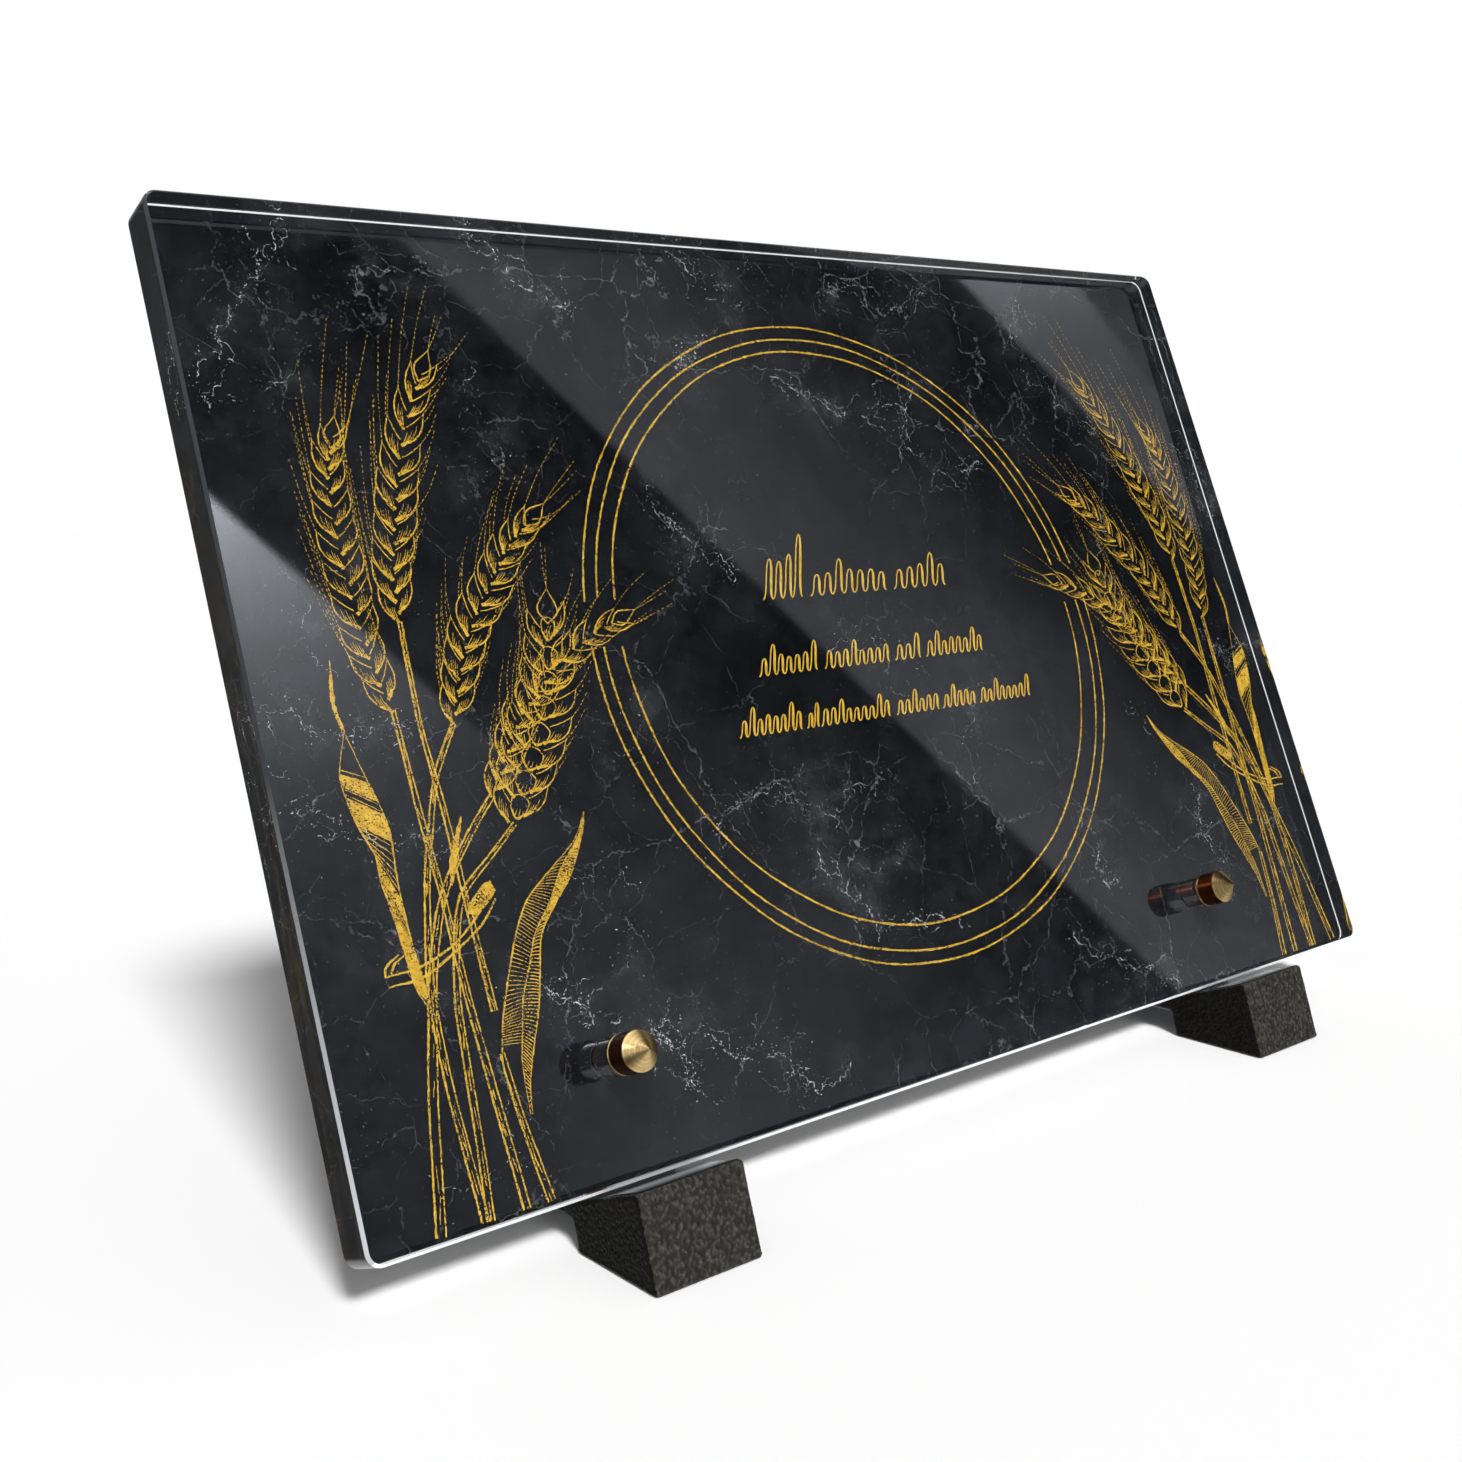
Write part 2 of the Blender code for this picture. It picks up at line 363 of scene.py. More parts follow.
def makeSlab(name, margin, front, back, radius, chamfer, holeRadius):
    deselectAll()
    width = plateWidth - 2 * margin
    height = plateHeight - 2 * margin
    bpy.ops.mesh.primitive_cube_add(size=1, location=(0, plateHeight / 2, (front + back) / 2),
                                    scale=(width, height, front - back))
    slab = bpy.context.active_object
    slab.name = name
    bpy.ops.object.transform_apply(location=True, rotation=True, scale=True)
    depth = front - back
    selectWhere(slab, "EDGE", lambda edge: abs(edge.verts[0].co.z - edge.verts[1].co.z) > depth / 2)
    bpy.ops.mesh.bevel(offset=radius, offset_type="OFFSET", segments=plateLook["cornerSteps"], affect="EDGES")
    if chamfer:
        flat = 0.001 * depth
        selectWhere(slab, "EDGE", lambda edge: abs(edge.verts[0].co.z - edge.verts[1].co.z) < flat
                    and any(abs(face.normal.z) < 0.5 for face in edge.link_faces)
                    and any(abs(face.normal.z) > 0.5 for face in edge.link_faces))
        bpy.ops.mesh.bevel(offset=chamfer, offset_type="OFFSET", segments=1, affect="EDGES")
    for low, high in screwPlaces.values():
        deselectAll()
        middle = (low + high) / 2
        bpy.ops.mesh.primitive_cylinder_add(vertices=plateLook["holeSteps"], radius=holeRadius,
                                            depth=plateLook["drillLength"],
                                            location=(middle.x, middle.y, back))
        drill = bpy.context.active_object
        bpy.ops.object.transform_apply(location=True, rotation=True, scale=True)
        applyModifier(slab, "BOOLEAN", operation="DIFFERENCE", solver="EXACT", object=drill)
        bpy.data.objects.remove(drill, do_unlink=True)
    makeActive(slab)
    bpy.ops.object.shade_smooth_by_angle(angle=smoothAngle)
    return slab


edgeHighlightLook = {
    # painted highlights on the chamfers, drawn as ground edges: colour of the lower one, and of the left one
    # near the feet and above, where it is painted dark
    "lower": (0.86, 0.88, 0.90, 1),
    "left": (0.42, 0.43, 0.45, 1),
    "leftShadedAbove": (0.02, 0.022, 0.026, 1),
    "fade": (0.02, 0.095),     # heights above the ground between which the left one darkens
    "roughness": 0.35,
}


def lowerEdgeHighlightMaterial():
    # painted highlight: the lower front chamfer is coloured white, as a ground edge that catches the light
    material, tree, shader = newMaterial("painted_highlight_lower_edge", edgeHighlightLook["roughness"])
    setInputs(shader, {"Base Color": edgeHighlightLook["lower"]})
    return material


def leftEdgeHighlightMaterial():
    # painted highlight: the left front chamfer is coloured light near the feet and fades upward to painted
    # shade
    material, tree, shader = newMaterial("painted_highlight_left_edge", edgeHighlightLook["roughness"])
    rise = addNode(tree, "SeparateXYZ", {"Vector": objectPoint(tree)}).outputs["Z"]
    low, high = edgeHighlightLook["fade"]
    fade = addNode(tree, "MapRange", {"Value": rise, "From Min": low, "From Max": high}).outputs[0]
    setInputs(shader, {"Base Color": mixColour(tree, fade, edgeHighlightLook["left"], edgeHighlightLook["leftShadedAbove"])})
    return material


def makeClearPlate():
    plate = makeSlab("clear_plate", 0.0, 0.0, -plateThickness, plateLook["cornerRadius"],
                     plateLook["chamfer"], plateLook["holeRadius"])
    for material in (clearMaterial(), lowerEdgeHighlightMaterial(), leftEdgeHighlightMaterial()):
        plate.data.materials.append(material)
    # the lower and left front chamfers get the edge materials with the painted highlight
    for face in plate.data.polygons:
        if face.normal.y < -0.5 and face.normal.z > 0.5:
            face.material_index = 1
        elif face.normal.x < -0.5 and face.normal.z > 0.5:
            face.material_index = 2
    placeOnPlate(plate)
    plate.visible_shadow = False       # so that lamps reach the print
    finishPiece(plate, "printed_plate", "plate")


def makeMarbleFace(veins, material):
    # a fine grid just in front of the print, which knows at each point how near the closest vein is
    rim = plateLook["rim"]
    width = plateWidth - 2 * rim
    height = plateHeight - 2 * rim
    cell = marbleLook["cell"]
    deselectAll()
    centre = plateHeight / 2
    level = -plateLook["printDepth"] + plateLook["faceLift"]
    bpy.ops.mesh.primitive_grid_add(x_subdivisions=round(width / cell), y_subdivisions=round(height / cell),
                                    size=1, location=(0, centre, level), scale=(width, height, 1))
    sheet = bpy.context.active_object
    sheet.name = "marble_face"
    bpy.ops.object.transform_apply(location=True, rotation=True, scale=True)
    low, high = boxIn(sheet, Matrix.Identity(4))
    for vertex in sheet.data.vertices:
        vertex.co.x *= width / (high.x - low.x)
        vertex.co.y = centre + (vertex.co.y - centre) * height / (high.y - low.y)
    radius = plateLook["cornerRadius"] - rim
    square = vec(width / 2 - radius, height / 2 - radius)
    for vertex in sheet.data.vertices:
        x, y = vertex.co.x, vertex.co.y - centre
        beyond = vec(abs(x) - square.x, abs(y) - square.y)
        if min(beyond) > 0 and beyond.length > radius:
            beyond = square + beyond.normalized() * radius
            vertex.co.x = math.copysign(beyond.x, x)
            vertex.co.y = math.copysign(beyond.y, y) + centre
    hole = plateLook["printHoleRadius"]
    for low, high in screwPlaces.values():
        middle = ((low + high) / 2).xy
        selectWhere(sheet, "FACE", lambda face: all((corner.co.xy - middle).length < hole
                                                    for corner in face.verts))
        bpy.ops.mesh.delete(type="FACE")
        deselectAll()
        for vertex in sheet.data.vertices:
            away = vertex.co.xy - middle
            if away.length < hole:
                edge = middle + away.normalized() * hole
                vertex.co = (edge.x, edge.y, vertex.co.z)
    places = [toPrint(place) for path in veins for place in path]
    search = KDTree(len(places))
    for index, place in enumerate(places):
        search.insert((place.x, place.y, 0), index)
    search.balance()
    near = sheet.data.attributes.new("near", "FLOAT", "POINT")
    for vertex, value in zip(sheet.data.vertices, near.data):
        distance = search.find((vertex.co.x / mm, vertex.co.y / mm, 0))[2]
        value.value = math.exp(-distance / marbleLook["reach"])
    sheet.data.materials.append(material)
    placeOnPlate(sheet)
    finishPiece(sheet, "printed_plate")
    print(sheet.name, len(sheet.data.polygons), "faces")


def makeMarblePrint():
    front = -plateLook["printDepth"]
    sheet = makeSlab("marble_print", plateLook["rim"], front, front - plateLook["printThickness"],
                     plateLook["cornerRadius"] - plateLook["rim"], 0.0, plateLook["printHoleRadius"])
    sheet.data.materials.append(marble)
    sheet.data.materials.append(backMaterial())
    for face in sheet.data.polygons:
        face.material_index = 0 if face.normal.z > 0.5 else 1
    placeOnPlate(sheet)
    finishPiece(sheet, "printed_plate")


marble = marbleMaterial()
makeClearPlate()
makeMarblePrint()
print("clear plate and marble print made")


# Pen strokes: flat ribbons of ink laid on the print, drawn in millimetres from the plate's middle bottom

inkLook = {
    "lift": 0.00004,           # ink above the marble print
    "grow": 1.01436,           # the drawing is measured on the plate's face; these place it on the
    "shift": (4.76, -0.20),    # print behind, so that it shows there from where the photo was taken
    "layer": 0.0000015,        # each stroke above the one before it
    "layers": 30,
    "step": 0.55,              # a worn stroke changes its width and place this often
    "wear": (0.65, 1.25),
    "waver": 0.05,
}


def vec(x, y):
    return Vector((x, y))


def toPrint(place):
    return place * inkLook["grow"] + vec(*inkLook["shift"])


def smoothPath(points, steps=6):
    # a smooth line through given points
    points = [vec(*point) for point in points]
    padded = [points[0] * 2 - points[1]] + points + [points[-1] * 2 - points[-2]]
    path = []
    for index in range(1, len(padded) - 2):
        a, b, c, d = padded[index - 1:index + 3]
        for step in range(steps):
            t = step / steps
            bend = (a * 2 - b * 5 + c * 4 - d) * t * t + (b * 3 - a - c * 3 + d) * t * t * t
            path.append((b * 2 + (c - a) * t + bend) * 0.5)
    path.append(points[-1])
    return path


def pointAt(path, share):
    # the point and the direction at a share of the path's points
    place = max(0.0, min(0.9999, share)) * (len(path) - 1)
    index = int(place)
    ahead = (path[index + 1] - path[index]).normalized()
    return path[index].lerp(path[index + 1], place - index), ahead


def pathLength(path):
    return sum((second - first).length for first, second in zip(path, path[1:]))


def addStroke(pen, points, width, ends=(1.0, 1.0), steps=5):
    # ends are the shares of the width at the stroke's start and end
    path = smoothPath(points, steps)
    last = len(path) - 1
    widths = []
    for index in range(len(path)):
        share = index / last
        edge = ends[0] + (1 - ends[0]) * min(1.0, share / 0.35)
        edge = min(edge, ends[1] + (1 - ends[1]) * min(1.0, (1 - share) / 0.35))
        widths.append(width * edge)
    pen.append((path, widths))


def addDashes(pen, points, width, chance, dash=(0.3, 0.9), gap=(0.2, 0.45), fade=0.4):
    # a thin line that the pen left in dashes, thinner towards its end
    path = smoothPath(points, 8)
    length = pathLength(path)
    at = 0.0
    while at < length - 0.3:
        run = chance.uniform(*dash)
        count = 3
        piece = [pointAt(path, (at + run * k / (count - 1)) / length)[0] for k in range(count)]
        thin = 1 - fade * at / length
        pen.append((piece, [width * thin * 0.7, width * thin, width * thin * 0.7]))
        at += run + chance.uniform(*gap) * (1 + at / length)


def wornPen(pen, chance):
    # short steps, each with its own width and place, as a dry nib leaves them
    worn = []
    for path, widths in pen:
        places = [path[0]]
        breadths = [widths[0]]
        for index in range(len(path) - 1):
            first, second = path[index], path[index + 1]
            steps = max(1, math.ceil((second - first).length / inkLook["step"]))
            for step in range(1, steps + 1):
                share = step / steps
                waver = vec(chance.uniform(-1, 1), chance.uniform(-1, 1)) * inkLook["waver"]
                width = widths[index] * (1 - share) + widths[index + 1] * share
                places.append(first.lerp(second, share) + waver)
                breadths.append(width * chance.uniform(*inkLook["wear"]))
        worn.append((places, breadths))
    return worn


def inkObject(name, pen, material):
    # every stroke is a spline with a flat nib, then all become one mesh
    nibLine = bpy.data.curves.new("nib", "CURVE")
    nibLine.dimensions = "2D"
    nibLine.fill_mode = "NONE"
    nibSpline = nibLine.splines.new("POLY")
    nibSpline.points.add(1)
    nibSpline.points[0].co = (-1, 0, 0, 1)
    nibSpline.points[1].co = (1, 0, 0, 1)
    nib = bpy.data.objects.new("nib", nibLine)
    bpy.context.collection.objects.link(nib)
    drawing = bpy.data.curves.new(name, "CURVE")
    drawing.dimensions = "3D"
    drawing.twist_mode = "Z_UP"
    drawing.bevel_mode = "OBJECT"
    drawing.bevel_object = nib
    base = -plateLook["printDepth"] + inkLook["lift"]
    for index, (path, widths) in enumerate(pen):
        spline = drawing.splines.new("POLY")
        spline.points.add(len(path) - 1)
        height = base + index % inkLook["layers"] * inkLook["layer"]
        for point, place, width in zip(spline.points, path, widths):
            onSheet = toPrint(place) * mm
            point.co = (onSheet.x, onSheet.y, height, 1)
            point.radius = max(width, 0.03) * mm / 2
    ink = bpy.data.objects.new(name, drawing)
    bpy.context.collection.objects.link(ink)
    makeActive(ink)
    bpy.ops.object.convert(target="MESH")
    ink = bpy.context.active_object
    bpy.data.objects.remove(nib, do_unlink=True)
    ink.data.materials.clear()
    ink.data.materials.append(material)
    return ink


# Wheat

wheatLook = {
    "outline": 0.32,
    "heavy": 0.72,
    "hatch": 0.14,
    "awn": 0.17,
    "stem": (0.30, 0.42),
    "ears": [
        # axis from base to tip, half breadth, grain length, rows, and on each side (left, right)
        # how far the awns lean out in degrees and how long they are
        {"axis": [(-122.9, 95.3), (-125.2, 106), (-126, 118), (-126.2, 130), (-125.4, 142), (-123.4, 149)],
         "breadth": 4.1, "grain": 7.4, "rows": 10, "awns": ((7, 22), (6, 20)), "middle": False},
        {"axis": [(-117.4, 112.4), (-116.6, 121), (-114, 131), (-111.4, 140), (-107, 152), (-100.5, 164)],
         "breadth": 4.3, "grain": 8.2, "rows": 10, "awns": ((8, 24), (26, 13)), "middle": False},
        {"axis": [(-111, 91.5), (-107.6, 100), (-103.4, 108.6), (-97, 117), (-91, 125), (-83.5, 131.6)],
         "breadth": 4.2, "grain": 7.6, "rows": 10, "awns": ((18, 19), (14, 13)), "middle": False},
        {"axis": [(-106.5, 76.4), (-102.5, 82), (-97, 90), (-89, 97.5), (-79, 104.4), (-68, 109)],
         "breadth": 3.7, "grain": 7.4, "rows": 9, "awns": ((20, 14), (4, 13)), "middle": False},
        {"axis": [(-102.9, 70.4), (-98.8, 77.6), (-94.4, 85), (-90, 93), (-87, 101), (-84.6, 111)],
         "breadth": 5.6, "grain": 8.0, "rows": 8, "awns": ((12, 15), (22, 10)), "middle": True},
    ],
    "stems": [
        # the stalk's width and its centre line from the ear down
        (1.5, [(-122.9, 95.3), (-122.1, 74.7), (-121.3, 59.3), (-120.7, 39.3), (-119.8, 21.7),
               (-118.6, 1.2)]),
        (1.2, [(-117.4, 112.4), (-118, 92.3), (-117.1, 74.7), (-116.7, 57), (-116.1, 36.8)]),
        (1.5, [(-111, 91.5), (-116.8, 82.3), (-120.4, 72.9), (-123.3, 64.1), (-126.3, 51.1), (-127.9, 40.5),
               (-128.2, 24.6), (-127.1, 1.2)]),
        (1.9, [(-106.5, 76.4), (-113.9, 68.8), (-120.4, 60.5), (-123.9, 53.5), (-126.8, 45.2),
               (-129.2, 35.8), (-132.1, 22.9), (-136, 1.2)]),
        (1.5, [(-102.9, 70.4), (-111, 64.1), (-116.8, 59.3), (-120.1, 52.3), (-122.7, 41.7),
               (-123.6, 33.4), (-124.8, 15.8), (-126.1, 1.2)]),
        (1.6, [(-116.6, 29), (-115.6, 17), (-113.4, 1.2)]),
    ],
    # a husk's belly, shoulder, tip, inner point and root, as shares of its length and breadth
    "husk": [(0.20, 0.66), (0.54, 1.04), (0.96, 1.02), (0.64, 0.50), (0.46, 0.10)],
}


def addAwn(pen, start, ahead, lean, length, chance):
    # the awn leaves the husk at an angle and bends back a little
    turn = math.radians(lean + chance.uniform(-4, 4))
    heading = math.atan2(ahead.y, ahead.x)
    reach = length * chance.uniform(0.65, 1.1)
    middle = start + vec(math.cos(heading + turn), math.sin(heading + turn)) * reach * 0.45
    end = middle + vec(math.cos(heading + turn * 0.55), math.sin(heading + turn * 0.55)) * reach * 0.55
    addDashes(pen, [start, middle, end], wheatLook["awn"], chance)


def addGrain(pen, foot, ahead, side, ear, breadth, share, chance):
    # a pointed husk: a heavy curve from the ear's axis outwards, a thin line back from its point
    out = Vector((ahead.y, -ahead.x)) * side
    reach = ear["grain"] * chance.uniform(0.94, 1.06)
    belly, shoulder, tip, inner, root = [foot + ahead * reach * along + out * breadth * across
                                         for along, across in wheatLook["husk"]]
    addStroke(pen, [foot, belly, shoulder, tip], wheatLook["outline"], (1.0, 0.5))
    addStroke(pen, [foot - ahead * 0.3, foot.lerp(belly, 0.5), belly], wheatLook["heavy"], (1.0, 0.2))
    addStroke(pen, [tip, inner, root], wheatLook["outline"] * 0.75, (0.5, 0.9))
    for line in range(5):
        across = 0.15 + 0.19 * line
        start = foot.lerp(belly, across) + ahead * reach * 0.05
        end = start + ahead * reach * chance.uniform(0.16, 0.36) + out * breadth * 0.14
        addStroke(pen, [start, start.lerp(end, 0.5) + out * 0.1, end], wheatLook["hatch"], (1.0, 0.4), 2)
    lean, length = ear["awns"][0 if side < 0 else 1]
    length *= 0.8 + 0.2 * share
    addAwn(pen, tip, ahead, -side * lean, length, chance)
    if chance.random() < 0.6:
        addAwn(pen, shoulder.lerp(tip, 0.4), ahead, -side * (lean + 2), length * 0.7, chance)


def addEar(pen, ear, chance):
    axis = smoothPath(ear["axis"], 8)
    rows = ear["rows"]
    for row in range(rows):
        share = row / rows
        fullness = 0.62 + 0.38 * math.sin(math.pi * min(1.0, 0.15 + share * 0.95))
        breadth = ear["breadth"] * fullness
        for side in (-1, 1):
            foot, ahead = pointAt(axis, share + (0.45 / rows if side > 0 else 0))
            if ear["middle"]:
                foot = foot + Vector((ahead.y, -ahead.x)) * side * breadth * 0.28
            narrowing = 0.8 if ear["middle"] and side > 0 else 1
            addGrain(pen, foot, ahead, side, ear, breadth * narrowing, share, chance)
        if ear["middle"]:
            foot, ahead = pointAt(axis, share + 0.3 / rows)
            addKernel(pen, foot, ahead, breadth * 0.40, ear["grain"] * 0.55, chance)
    foot, ahead = pointAt(axis, 0.97)
    addTipGrain(pen, foot, ahead, ear, chance)


def addKernel(pen, foot, ahead, breadth, length, chance):
    # a round grain seen from the front, in the middle of a full ear
    out = Vector((ahead.y, -ahead.x))
    under = [foot - out * breadth + ahead * length * 0.3, foot - ahead * length * 0.1,
             foot + out * breadth + ahead * length * 0.3]
    addStroke(pen, under, wheatLook["heavy"] * 0.75, (0.4, 0.4))
    over = [under[0], under[0] + ahead * length * 0.5, foot + ahead * length,
            under[2] + ahead * length * 0.5, under[2]]
    addStroke(pen, over, wheatLook["outline"] * 0.8, (0.8, 0.8))
    for line in range(4):
        start = foot + out * breadth * (line - 1.5) * 0.4 + ahead * length * 0.05
        end = start + ahead * length * chance.uniform(0.2, 0.4)
        addStroke(pen, [start, end], wheatLook["hatch"], (1.0, 0.4), 2)


def addTipGrain(pen, foot, ahead, ear, chance):
    out = Vector((ahead.y, -ahead.x))
    length = ear["grain"] * 0.95
    breadth = ear["breadth"] * 0.42
    tip = foot + ahead * length
    for side in (-1, 1):
        addStroke(pen, [foot, foot + ahead * length * 0.4 + out * breadth * side, tip], wheatLook["outline"],
                  (1.0, 0.5))
    for lean in (-3, 4):
        addAwn(pen, tip, ahead, lean, 13, chance)


def addStem(pen, width, points, chance):
    # two lines, closer at the top, with short strokes between them
    line = smoothPath(points, 6)
    count = len(line)
    for side in (-1, 1):
        edge = []
        for index in range(0, count, 3):
            place, ahead = pointAt(line, index / (count - 1))
            out = Vector((ahead.y, -ahead.x)) * side
            wide = width / 2 * (0.55 + 0.45 * index / count)
            edge.append(place + out * (wide + chance.uniform(-0.06, 0.06)))
        addStroke(pen, edge, wheatLook["stem"][0 if side < 0 else 1], (1.0, 1.0))
    length = pathLength(line)
    for _ in range(int(length * 0.32)):
        share = chance.random()
        start = pointAt(line, share)[0] + vec(chance.uniform(-0.3, 0.3), 0)
        end = pointAt(line, share + 2.4 / length)[0] + vec(chance.uniform(-0.2, 0.2), 0)
        addStroke(pen, [start, end], wheatLook["hatch"] * 1.3, (0.6, 0.6), 2)


# Leaves and the tie

leafLook = {
    "outline": 0.34,
    "blade": {
        "outer": [(-87.1, 70.5), (-88.6, 66.4), (-93.3, 58.8), (-98, 54.1), (-102.7, 48.7), (-105, 41.7),
                  (-106.8, 35.8), (-109.8, 28.7), (-112.1, 22.9), (-113.3, 17)],
        "rib": [(-87.1, 70.5), (-89.8, 65.8), (-95, 60.6), (-99.2, 54.6), (-103.9, 49.3), (-106.8, 43.5),
                (-109.8, 37.6), (-111.5, 31.7), (-113, 26), (-113.6, 17)],
        "inner": [(-87.1, 70.5), (-90.9, 65.2), (-99.2, 59.4), (-103.9, 55.8), (-107.4, 51.1), (-110.9, 44.1),
                  (-114.5, 35.8), (-116, 31.1), (-116.8, 26), (-115.7, 17)],
    },
    # strokes from one edge to the rib: edge, first and last share of it, count, width, tilt, ends
    "shading": [
        ("outer", 0.03, 0.40, 44, 0.50, 0.01, (1.0, 0.7)),
        ("outer", 0.40, 0.97, 52, 0.22, 0.02, (1.0, 0.5)),
        ("inner", 0.16, 0.80, 56, 0.16, 0.02, (1.0, 0.5)),
    ],
    "twist": {
        "left": [(-133.6, 92.3), (-136, 85.2), (-136.1, 81.1), (-134.8, 74.7), (-132.7, 68.8), (-132.7, 64.1),
                 (-131.6, 55.8), (-130.7, 45.2), (-129.2, 40.5)],
        "right": [(-133.5, 92.3), (-131.6, 84.7), (-129.8, 78.2), (-128.9, 72.3), (-129.5, 64.1),
                  (-129.5, 55.8), (-129.2, 49.9), (-128.6, 43), (-128.4, 40.5)],
        # filled, then hatched: stretches of its length, strokes on its whole length, width, ends
        "fills": [
            ([(0.14, 0.21), (0.27, 0.37), (0.54, 0.59), (0.70, 0.92)], 120, 0.62, (1.0, 0.9)),
            ([(0.10, 0.14), (0.21, 0.27), (0.37, 0.54), (0.59, 0.70)], 46, 0.20, (1.0, 0.3)),
        ],
        "tilt": 0.03,
        "tip": [(-133.6, 92.3), (-134.4, 98), (-133.3, 106)],
    },
    "sprout": [(-113.9, 73.5), (-117, 67), (-119, 61)],
}


def spanStrokes(pen, first, second, shares, width, tilt, chance, ends):
    # short strokes from one edge of a leaf to the other
    for share in shares:
        start = pointAt(first, share)[0]
        end = pointAt(second, share + tilt)[0]
        start = start.lerp(end, chance.uniform(0.0, 0.05))
        addStroke(pen, [start, start.lerp(end, 0.5) + vec(0, 0.1), end], width, ends, 2)


def sharesBetween(low, high, count):
    return [low + (high - low) * (index + 0.5) / count for index in range(count)]


def addLeaves(pen, chance):
    blade = {name: smoothPath(points, 6) for name, points in leafLook["blade"].items()}
    for name in ("outer", "rib", "inner"):
        addStroke(pen, leafLook["blade"][name], leafLook["outline"], (0.4, 0.4))
    for edge, low, high, count, width, tilt, ends in leafLook["shading"]:
        shares = sharesBetween(low, high, count)
        spanStrokes(pen, blade[edge], blade["rib"], shares, width, tilt, chance, ends)
    twist = leafLook["twist"]
    left = smoothPath(twist["left"], 6)
    right = smoothPath(twist["right"], 6)
    for name in ("left", "right"):
        addStroke(pen, twist[name], leafLook["outline"], (0.4, 0.6))
    addStroke(pen, twist["tip"], 0.9, (0.9, 0.2))
    for stretches, strokes, width, ends in twist["fills"]:
        for low, high in stretches:
            shares = sharesBetween(low, high, int((high - low) * strokes))
            spanStrokes(pen, left, right, shares, width, twist["tilt"], chance, ends)
    addStroke(pen, leafLook["sprout"], 1.5, (0.15, 0.3))


tieLook = {
    "bands": [
        [(-110.9, 58.8), (-114.5, 55.2), (-121, 50.4), (-128.6, 47.6), (-134, 47.2), (-135.9, 47)],
        [(-110.7, 57), (-115, 52.6), (-122.7, 48.2), (-129, 45.6), (-134, 45.3), (-135.6, 45.2)],
        [(-135.9, 47), (-135.2, 48.9), (-132.4, 50.6)],
        [(-134.6, 47.4), (-133.6, 49), (-131.4, 50.2)],
    ],
    "knot": {"from": [(-117, 55.2), (-115.6, 57.4), (-112.8, 59.7), (-110.9, 60.4)],
             "to": [(-115.6, 54.6), (-113.8, 55.6), (-111.6, 57.2), (-110.4, 58.6)]},
}


def addTie(pen, chance):
    for band in tieLook["bands"]:
        addStroke(pen, band, 0.5, (0.8, 0.5))
    knotFrom = smoothPath(tieLook["knot"]["from"], 5)
    knotTo = smoothPath(tieLook["knot"]["to"], 5)
    spanStrokes(pen, knotFrom, knotTo, sharesBetween(0.02, 0.98, 14), 0.62, 0.0, chance, (0.9, 0.9))
    addStroke(pen, tieLook["knot"]["from"], 0.5)


# Rings and rows of strokes

ringLook = {
    "centre": (1.2, 100.6),
    "radii": (77.2, 74.1, 69.6),
    "drop": (0.0, 0.2, -1.2),      # each ring's centre below the first one's
    "width": 0.46,
    "hidden": (104.2, 112.8),      # the ears cover the rings between these heights
    "points": 300,
}

rowLook = {
    "slant": 0.35,
    "thin": 0.34,
    "heavy": 0.36,             # added on the way down
    "round": 0.075,            # widens the turns above and below
    "rows": [
        # words as start, end and height; the line they stand on and the spacing of their strokes
        {"words": [(-27.9, -16.4, 10.0), (-13.8, 10.0, 5.6), (12.5, 29.8, 5.6)], "base": 110.6, "pitch": 3.2},
        {"words": [(-34.6, -17.7, 4.6), (-15.4, 4.8, 4.0), (6.7, 15.0, 4.0), (16.9, 36.2, 4.0)], "base": 93.3,
         "pitch": 2.5},
        {"words": [(-44.2, -26.5, 4.2), (-25.0, -21.5, 3.6), (-20.8, 0.4, 3.6), (2.5, 16.3, 3.6),
                   (17.7, 28.8, 3.6), (30.4, 48.1, 3.6)], "base": 80.4, "pitch": 2.3},
    ],
}


def addRings(pen, chance):
    look = ringLook
    low, high = look["hidden"]
    for radius, drop in zip(look["radii"], look["drop"]):
        run = []
        widths = []
        phase = chance.uniform(0, math.tau)
        for index in range(look["points"] * 2 + 1):
            angle = math.tau * index / look["points"] + math.pi / 2
            wobble = 0.10 * math.sin(angle * 7 + phase) + 0.07 * math.sin(angle * 17 + phase * 3)
            x = look["centre"][0] + (radius + wobble) * math.cos(angle)
            y = look["centre"][1] - drop + (radius + wobble) * math.sin(angle)
            hidden = low < y < high
            if hidden or index > look["points"]:
                if len(run) > 2:
                    pen.append((run, widths))
                run, widths = [], []
                if index > look["points"]:
                    break
                continue
            run.append(vec(x, y))
            widths.append(look["width"] * chance.uniform(0.8, 1.2))


def addWord(pen, word, row, chance):
    # a slanting wave, heavy on the way down and light on the way up; it spells nothing
    start, end, height = word
    strokes = max(2, round((end - start) / row["pitch"]))
    steps = 14
    tall = [chance.uniform(0.80, 1.05) for _ in range(strokes + 1)]
    for index in range(chance.randrange(1, 4), strokes, 5):
        tall[index] = 1.5
    path = []
    widths = []
    for index in range(strokes * steps + 1):
        turn = index / steps
        wave = 0.5 - 0.5 * math.cos(turn * math.tau)
        rise = height * wave * tall[int(min(turn, strokes - 0.01))]
        x = start + (end - start) * index / (strokes * steps) + rowLook["slant"] * rise
        x += row["pitch"] * rowLook["round"] * math.sin(turn * math.tau * 2)
        path.append(vec(x, row["base"] + rise))
        down = math.sin(turn * math.tau)
        widths.append(rowLook["thin"] + rowLook["heavy"] * max(0.0, -down))
    pen.append((path, widths))


def addRows(pen, chance):
    for row in rowLook["rows"]:
        for word in row["words"]:
            addWord(pen, word, row, chance)


